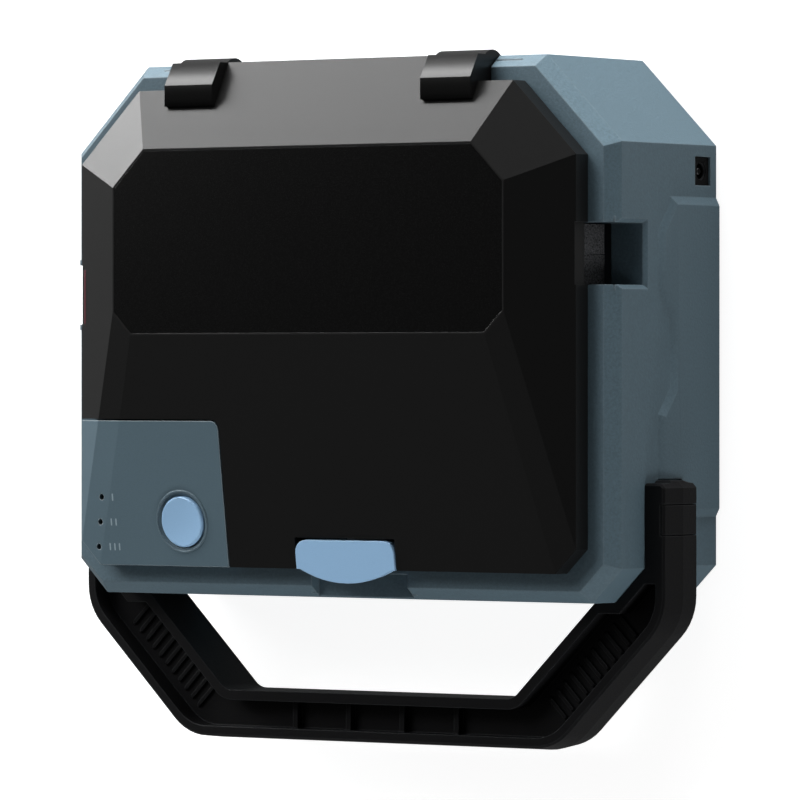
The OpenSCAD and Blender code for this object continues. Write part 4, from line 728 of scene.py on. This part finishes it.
class BarRow:
    """A row of moulded bars, made by one node tree with named inputs."""

    INPUTS = (("Count", "Int"), ("Start", "Vector"), ("Step", "Vector"), ("Turn", "Vector"),
              ("Length", "Float"), ("Width", "Float"), ("Height", "Float"), ("Round", "Float"),
              ("Taper", "Float"), ("Material", "Material"))

    def __init__(self, finishes: Finishes) -> None:
        """Builds the node tree.

        Args:
            finishes: Source of the materials.
        """
        self.finishes = finishes
        self.tree = bpy.data.node_groups.new("bar_row", "GeometryNodeTree")
        face = self.tree.interface
        self.keys: dict[str, str] = {
            name: face.new_socket(name, in_out="INPUT", socket_type="NodeSocket" + kind).identifier
            for name, kind in self.INPUTS}
        face.new_socket("Mesh", in_out="OUTPUT", socket_type="NodeSocketGeometry")
        given = add_node(self.tree, "NodeGroupInput").outputs
        self.spread(self.bar(given), given)

    def bar(self, given: Sockets) -> Socket:
        """Lays the nodes that make one closed bar with rounded corners and a narrower top.

        Args:
            given: The tree's inputs.

        Returns:
            The bar.
        """
        tree = self.tree
        outline = add_node(tree, "GeometryNodeCurvePrimitiveQuadrilateral", {"mode": "RECTANGLE"}, {
            "Width": given["Length"], "Height": given["Width"]}).outputs[0]
        soft = add_node(tree, "GeometryNodeFilletCurve", {"mode": "POLY"}, {
            "Curve": outline, "Count": 3, "Radius": given["Round"],
            "Limit Radius": True}).outputs[0]
        floor = add_node(tree, "GeometryNodeFillCurve", {"mode": "NGONS"}, {
            "Curve": soft}).outputs[0]
        raised = add_node(tree, "GeometryNodeExtrudeMesh", {"mode": "FACES"}, {
            "Mesh": floor, "Offset Scale": given["Height"], "Individual": False}).outputs
        narrowed = add_node(tree, "GeometryNodeScaleElements", {"domain": "FACE"}, {
            "Geometry": raised["Mesh"], "Selection": raised["Top"],
            "Scale": given["Taper"]}).outputs[0]
        under = add_node(tree, "GeometryNodeFlipFaces", {}, {"Mesh": floor}).outputs[0]
        both = add_node(tree, "GeometryNodeJoinGeometry")
        tree.links.new(narrowed, both.inputs[0])
        tree.links.new(under, both.inputs[0])
        return add_node(tree, "GeometryNodeMergeByDistance", {}, {
            "Geometry": both.outputs[0], "Distance": SHORT_EDGE}).outputs[0]

    def spread(self, bar: Socket, given: Sockets) -> None:
        """Lays the nodes that set the bars in their row and dress them.

        Args:
            bar: One bar.
            given: The tree's inputs.
        """
        tree = self.tree
        line = add_node(tree, "GeometryNodeMeshLine", {"mode": "OFFSET"}, {
            "Count": given["Count"], "Start Location": given["Start"],
            "Offset": given["Step"]}).outputs[0]
        turned = add_node(tree, "FunctionNodeEulerToRotation", {}, {0: given["Turn"]}).outputs[0]
        placed = add_node(tree, "GeometryNodeInstanceOnPoints", {}, {
            "Points": line, "Instance": bar, "Rotation": turned}).outputs[0]
        real = add_node(tree, "GeometryNodeRealizeInstances", {}, {0: placed}).outputs[0]
        dressed = add_node(tree, "GeometryNodeSetMaterial", {}, {
            0: real, "Material": given["Material"]}).outputs[0]
        add_node(tree, "NodeGroupOutput", {}, {0: dressed})

    def make(self, name: str, finish: Finish, body: Body, slot: Slot,
             values: dict[str, Any]) -> None:
        """Makes one row as a piece with a plain mesh.

        Args:
            name: Name of the piece.
            finish: Its finish.
            body: The body it moves with.
            slot: Not used.
            values: The tree's other inputs by name, in metres and radians.
        """
        material = self.finishes.get(finish)
        holder = bpy.data.objects.new(name + "_holder", bpy.data.meshes.new(name + "_holder"))
        bpy.context.scene.collection.objects.link(holder)
        modifier = holder.modifiers.new("bars", "NODES")
        modifier.node_group = self.tree
        for key, value in {**values, "Material": material}.items():
            modifier[self.keys[key]] = value
        bpy.context.view_layer.update()
        shown = holder.evaluated_get(bpy.context.evaluated_depsgraph_get())
        mesh = bpy.data.meshes.new_from_object(shown)
        mesh.name = name
        bpy.data.objects.remove(holder)
        settle(as_object(name, mesh, material, BAR), body)


@dataclass
class HandleGrips:
    """Low bars that fill the two long pockets of the handle, as a moulded grip pattern."""

    rows: BarRow
    # Millimetres: the pocket's middle, its floor below the handle's face, and the bars' sink in it
    middle: Point = (90.6, -92.05)
    floor_drop: float = 8.0
    sink: float = 0.05
    # The bars in millimetres, with the shares that round and narrow them
    count: int = 11
    pitch: float = 4.1
    length: float = 11.5
    width: float = 1.7
    height: float = 1.1
    rounding: float = 0.42
    taper: float = 0.8

    def build(self) -> None:
        """Builds both rows."""
        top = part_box("handle")[1].z / MM
        for name, side in (("handle_grip_left", -1), ("handle_grip_right", 1)):
            step = Vector((side, 1, 0)).normalized() * self.pitch
            middle = Vector((side * self.middle[0], self.middle[1],
                             top - self.floor_drop - self.sink))
            start = middle - step * (self.count - 1) / 2
            self.rows.make(name, Finish.HANDLE, Body.PRINTER, Slot.HANDLE, {
                "Count": self.count, "Start": start * MM, "Step": step * MM,
                "Turn": (0.0, 0.0, side * -math.pi / 4), "Length": self.length * MM,
                "Width": self.width * MM, "Height": self.height * MM,
                "Round": self.width * self.rounding * MM, "Taper": self.taper})


@dataclass
class HandleCaps:
    """The caps over the handle's screws, which carry on the arms' roofed rim and end in a bevel."""

    finishes: Finishes
    # Millimetres: the rim's edge and rise, the bevel at the cap's ends, and the cap's thickness
    edge: float = 0.8
    rise: float = 0.9
    bevel: float = 0.35
    depth: float = 2.7
    # Degrees: only what is flatter than this is shaded as a curve
    smooth_below: float = 5

    def build(self) -> None:
        """Builds both caps as one piece with two bodies of plastic."""
        low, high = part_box("handle_caps")
        top, bottom, back, front = high.z / MM, low.z / MM, low.y / MM, high.y / MM
        middle, face = (top + bottom) / 2, high.x / MM
        bm = bmesh.new()
        for side in (-1, 1):
            rings = []
            for along, inset in ((back, self.bevel), (back + self.bevel, 0.0),
                                 (front - self.bevel, 0.0), (front, self.bevel)):
                eave = face - self.rise - inset
                outline = ((face - self.depth, bottom), (eave - self.edge, bottom),
                           (eave, bottom + self.edge), (face - inset, middle),
                           (eave, top - self.edge), (eave - self.edge, top),
                           (face - self.depth, top))
                rings.append([bm.verts.new((side * x * MM, along * MM, z * MM))
                              for x, z in outline])
            for one, two in zip(rings, rings[1:]):
                for i, vert in enumerate(one):
                    j = (i + 1) % len(one)
                    bm.faces.new((vert, one[j], two[j], two[i]))
            bm.faces.new(rings[0])
            bm.faces.new(rings[-1][::-1])
        bmesh.ops.recalc_face_normals(bm, faces=bm.faces)
        name = "handle_caps_roofed"
        caps = as_object(name, as_mesh(name, bm), self.finishes.get(Finish.HANDLE),
                         self.smooth_below)
        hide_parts("handle_caps")
        settle(caps, Body.PRINTER)


@dataclass
class IndicatorMarks:
    """Plain counting strokes beside the three indicator lights: one, two and three."""

    rows: BarRow
    # Millimetres: places of the lights, and the first stroke's distance from its light
    lights: tuple[Point, ...] = ((-95.06, -34.55), (-96.47, -43.4), (-97.88, -52.25))
    offset: float = 5.2
    # The strokes in millimetres, with the shares that round and narrow them
    pitch: float = 2.1
    length: float = 2.7
    width: float = 0.62
    height: float = 0.05
    rounding: float = 0.45
    taper: float = 0.95

    def build(self) -> None:
        """Builds a row of strokes for each light, on the slope of the panel."""
        for count, (x, y) in enumerate(self.lights, 1):
            place, normal = landing("control_panel", (x + self.offset) * MM, y * MM)
            name = f"indicator_mark_{count}"
            self.rows.make(name, Finish.PRINT, Body.PRINTER, Slot.CASE, {
                "Count": count, "Start": place - normal * self.height / 2 * MM,
                "Step": across(normal) * self.pitch * MM, "Turn": lying_on(normal),
                "Length": self.width * MM, "Width": self.length * MM, "Height": self.height * MM,
                "Round": self.width * self.rounding * MM, "Taper": self.taper})


@dataclass
class ButtonCollar:
    """The low rounded collar that the panel has round the button."""

    finishes: Finishes
    # Millimetres: the collar's inner and outer edge beyond the button's side, its height, and a
    # place on the panel to the left of the button
    inner: float = 0.3
    outer: float = 1.15
    height: float = 0.5
    aside: float = 3.0
    # The outline from the foot in the panel round to it, in shares of the width and the height
    outline: tuple[Point, ...] = ((0.0, -0.6), (1.0, -0.6), (1.0, 0.06), (0.75, 0.75),
                                  (0.5, 1.0), (0.15, 0.75), (0.0, 0.2))
    steps: int = 72
    smooth_below: float = 60

    def build(self) -> None:
        """Builds the collar on the slope of the panel."""
        low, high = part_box("power_button")
        middle = (low + high) / 2
        place, normal = landing("control_panel", low.x - self.aside * MM, middle.y)
        centre = middle + normal * (place - middle).dot(normal)
        radius = (high.y - low.y) / 2 / MM + self.inner
        width = self.outer - self.inner
        profile = [(radius + out * width, up * self.height) for out, up in self.outline]
        mesh = lathe("button_collar", profile, centre, normal, self.steps)
        piece = as_object("button_collar", mesh, self.finishes.get(Finish.PANEL),
                          self.smooth_below)
        settle(piece, Body.PRINTER)


@dataclass
class NotchLining:
    """The dark red lining along the cut in the lid's left edge."""

    rows: BarRow
    # The strip in millimetres, with the share that narrows its top
    middle: Point = (-103.9, 37.0)
    length: float = 20.4
    width: float = 1.4
    height: float = 0.1
    rounding: float = 0.2
    taper: float = 0.9

    def build(self) -> None:
        """Builds the strip on the lid's slope."""
        place, normal = landing("lid_shell", self.middle[0] * MM, self.middle[1] * MM)
        self.rows.make("notch_lining", Finish.LINING, Body.LID, Slot.LID, {
            "Count": 1, "Start": place - normal * self.height / 2 * MM, "Step": Vector((0, 0, 0)),
            "Turn": lying_on(normal), "Length": self.width * MM, "Width": self.length * MM,
            "Height": self.height * MM, "Round": self.rounding * MM, "Taper": self.taper})


@dataclass
class EntrySponge:
    """The foam at the right-hand notch that the tube is pushed through, in two halves."""

    rows: BarRow
    # Millimetres: the lower half's middle on the deck, each half's size and corners, and the slit
    middle: Place = (98.1, 45.35, 47.5)
    size: Place = (3.2, 10.35, 12.7)
    rounding: float = 0.15
    slit: float = 0.12

    def build(self) -> None:
        """Builds both halves as one piece with two blocks of foam."""
        length, width, height = self.size
        self.rows.make("entry_sponge", Finish.SPONGE, Body.PRINTER, Slot.RUBBER, {
            "Count": 2, "Start": Vector(self.middle) * MM,
            "Step": Vector((0, width + self.slit, 0)) * MM, "Turn": (0.0, 0.0, 0.0),
            "Length": length * MM, "Width": width * MM, "Height": height * MM,
            "Round": self.rounding * MM, "Taper": 1.0})


@dataclass
class JackContact:
    """The sleeve round the centre pin of the power inlet, and the pressed ring at its mouth."""

    finishes: Finishes
    # Millimetres: the outlines, as distances from the axis and from the inlet's face
    sleeve: tuple[Point, ...] = ((1.0, -4.0), (1.2, -3.8), (1.2, -1.1), (1.0, -0.85))
    ring: tuple[Point, ...] = ((2.8, -1.2), (3.1, -1.2), (3.1, -0.4), (2.8, -0.7))
    steps: int = 32
    smooth_below: float = 35

    def build(self) -> None:
        """Builds the sleeve and the ring."""
        low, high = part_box("dc_jack")
        middle = Vector((high.x, (low.y + high.y) / 2, (low.z + high.z) / 2))
        for name, profile, finish in (("jack_sleeve", self.sleeve, Finish.TURNED),
                                      ("jack_mouth_ring", self.ring, Finish.PARTS)):
            mesh = lathe(name, profile, middle, Vector((1, 0, 0)), self.steps)
            piece = as_object(name, mesh, self.finishes.get(finish), self.smooth_below)
            settle(piece, Body.PRINTER)


@dataclass(frozen=True)
class Lamp:
    """A soft rectangular lamp that faces the printer."""

    name: str
    # Place, width and height in metres, and power in watts
    at: Place
    size: Point
    power: float
    # Whether gloss shows it
    glint: bool = True

    def hang(self, target: Place) -> None:
        """Hangs the lamp.

        Args:
            target: The place that it faces, in metres.
        """
        data = bpy.data.lights.new(self.name, "AREA")
        data.shape = "RECTANGLE"
        data.size, data.size_y = self.size
        data.energy = self.power
        lamp = bpy.data.objects.new(self.name, data)
        bpy.context.scene.collection.objects.link(lamp)
        lamp.location = self.at
        facing = (Vector(target) - Vector(self.at)).to_track_quat("-Z", "Y")
        lamp.rotation_euler = facing.to_euler()
        lamp.visible_glossy = self.glint


LAMPS = (
    # The wide light beyond the hinge, whose sheen the lid's upper bevels show
    Lamp("lamp_hinge_left", (-1.0, 1.73, 0.5), (2.4, 0.8), 66),
    # The low light that makes the case's chamfered corner its brightest side
    Lamp("lamp_hinge_low", (0.15, 1.8, 0.10), (1.2, 0.18), 76, glint=False),
    # Even light from above and from beyond the handle, which gloss doesn't show
    Lamp("lamp_top_fill", (-0.9, 1.2, 1.65), (1.1, 1.1), 34, glint=False),
    Lamp("lamp_front_low", (0.3, -1.9, 0.35), (0.9, 0.4), 25, glint=False),
    # The strip that edges the left-hand bevel
    Lamp("lamp_left_strip", (-1.7, 0.85, 0.25), (0.5, 0.4), 9),
    # Even light on the right-hand side
    Lamp("lamp_right", (1.9, -0.9, 0.35), (0.7, 0.5), 11, glint=False),
    # The faint glow in the window's upper half
    Lamp("lamp_window_glow", (-0.9, 0.41, 0.85), (0.55, 0.45), 0.7),
)


@dataclass
class Studio:
    """The floor, the world, the lamps and the camera of the photograph."""

    # Measured from the photograph: the camera stands 35 degrees to the right of the lid's own
    # direction. Angles in degrees, the lens in millimetres, places in metres
    turn: float = 34.99
    dip: float = 0.2696
    lens: float = 296.44
    sensor: float = 36.0
    sight: Point = (0.05, 40)
    place: Place = (1.3416, 0.0112, 1.9444)
    target: Place = (0.0, 0.0, 0.04)
    # The light on the printer from all round, the ceiling that gloss sees, and the share of the
    # white floor and walls that gloss sees
    ambient: float = 0.14
    ceiling: float = 0.075
    gloss_white: float = 0.12
    # How far along X the ceiling fades, from dark to full, and the height of the walls, as parts
    # of the direction that is looked in
    ceiling_dark: float = 0.4
    ceiling_full: float = -0.5
    wall_top: float = 0.12
    # The paper's grey for the light that falls on it and for gloss, and what makes it white
    paper: float = 0.5
    paper_in_gloss: float = 0.14
    paper_lift: float = 0.82
    paper_reach: float = 9.0

    def camera(self) -> None:
        """Creates the scene's camera."""
        data = bpy.data.cameras.new("photo_camera")
        data.sensor_width = self.sensor
        data.sensor_fit = "HORIZONTAL"
        data.lens = self.lens
        data.clip_start, data.clip_end = self.sight
        camera = bpy.data.objects.new("photo_camera", data)
        bpy.context.scene.collection.objects.link(camera)
        side, far = math.sin(math.radians(self.turn)), math.cos(math.radians(self.turn))
        facing = Matrix(((far, 0, side), (0, 1, 0), (-side, 0, far)))
        tilt = Matrix.Rotation(-math.radians(self.dip), 3, "X")
        camera.matrix_world = Matrix.Translation(self.place) @ (facing @ tilt).to_4x4()
        bpy.context.scene.camera = camera

    def white_share(self, tree: Tree, path: Sockets,
                    in_gloss: float | Socket) -> Socket:
        """Finds how much of the white is seen: all by the camera and through glass, less in gloss.

        Args:
            tree: Node tree of the floor or the world.
            path: What the light's path is at this place.
            in_gloss: The share that gloss sees.

        Returns:
            The share.
        """
        clear = add_node(tree, "ShaderNodeMath", {"operation": "MAXIMUM"}, {
            0: path["Is Camera Ray"], 1: path["Is Transmission Ray"]}).outputs[0]
        gloss = add_node(tree, "ShaderNodeMath", {"operation": "MULTIPLY"}, {
            0: path["Is Glossy Ray"], 1: in_gloss}).outputs[0]
        return add_node(tree, "ShaderNodeMath", {"operation": "MAXIMUM"}, {
            0: clear, 1: gloss}).outputs[0]

    def floor(self) -> None:
        """Lays the white paper, which keeps the printer's shadow and is dimmer in gloss."""
        material, tree = empty_material("floor_white_paper")
        path = add_node(tree, "ShaderNodeLightPath").outputs
        share = self.white_share(tree, path, self.gloss_white)
        white = add_node(tree, "ShaderNodeEmission", {}, {
            "Color": WHITE, "Strength": self.paper_lift}).outputs[0]
        grey = add_node(tree, "ShaderNodeMapRange", {}, {
            "Value": path["Is Glossy Ray"], "To Min": self.paper,
            "To Max": self.paper_in_gloss}).outputs["Result"]
        paper = add_node(tree, "ShaderNodeBsdfDiffuse", {}, {"Color": grey}).outputs[0]
        bright = add_node(tree, "ShaderNodeAddShader", {}, {0: paper, 1: white}).outputs[0]
        mixed = add_node(tree, "ShaderNodeMixShader", {}, {
            0: share, 1: paper, 2: bright}).outputs[0]
        add_node(tree, "ShaderNodeOutputMaterial", {}, {"Surface": mixed})
        bm = bmesh.new()
        bmesh.ops.create_grid(bm, x_segments=1, y_segments=1, size=self.paper_reach)
        as_object("floor", as_mesh("floor", bm), material, FLAT)

    def world(self) -> None:
        """Sets a surround that the camera sees white, and gloss dimmer towards the ceiling."""
        world = bpy.data.worlds.new("studio")
        bpy.context.scene.world = world
        world.use_nodes = True
        tree = world.node_tree
        tree.nodes.clear()
        path = add_node(tree, "ShaderNodeLightPath").outputs
        toward = add_node(tree, "ShaderNodeSeparateXYZ", {}, {
            0: add_node(tree, "ShaderNodeTexCoord").outputs["Generated"]}).outputs
        wall = add_node(tree, "ShaderNodeMapRange", {}, {
            "Value": toward["Z"], "From Min": 0.0, "From Max": self.wall_top,
            "To Min": self.gloss_white, "To Max": 0.0}).outputs["Result"]
        share = self.white_share(tree, path, wall)
        ceiling = add_node(tree, "ShaderNodeMapRange", {}, {
            "Value": toward["X"], "From Min": self.ceiling_dark, "From Max": self.ceiling_full,
            "To Min": 0.0, "To Max": self.ceiling}).outputs["Result"]
        level = add_node(tree, "ShaderNodeMapRange", {}, {
            "Value": path["Is Glossy Ray"], "To Min": self.ambient,
            "To Max": ceiling}).outputs["Result"]
        dim = add_node(tree, "ShaderNodeBackground", {}, {
            "Color": WHITE, "Strength": level}).outputs[0]
        white = add_node(tree, "ShaderNodeBackground", {}, {
            "Color": WHITE, "Strength": 1.0}).outputs[0]
        mixed = add_node(tree, "ShaderNodeMixShader", {}, {0: share, 1: dim, 2: white}).outputs[0]
        add_node(tree, "ShaderNodeOutputWorld", {}, {"Surface": mixed})

    def build(self) -> None:
        """Builds the whole studio."""
        self.floor()
        self.world()
        for lamp in LAMPS:
            lamp.hang(self.target)
        bpy.context.scene.view_settings.view_transform = "Standard"


def main() -> None:
    """Builds the camera, the printer's finishes and details, and the studio, in that order."""
    logging.basicConfig(level=logging.INFO, format="%(message)s")
    studio = Studio()
    studio.camera()
    finishes = Finishes()
    rows = BarRow(finishes)
    SolidDresser(finishes).dress()
    for details in (HandleGrips(rows), HandleCaps(finishes), IndicatorMarks(rows),
                    ButtonCollar(finishes), NotchLining(rows), EntrySponge(rows),
                    JackContact(finishes)):
        details.build()
    studio.build()


if __name__ == "__main__":
    main()
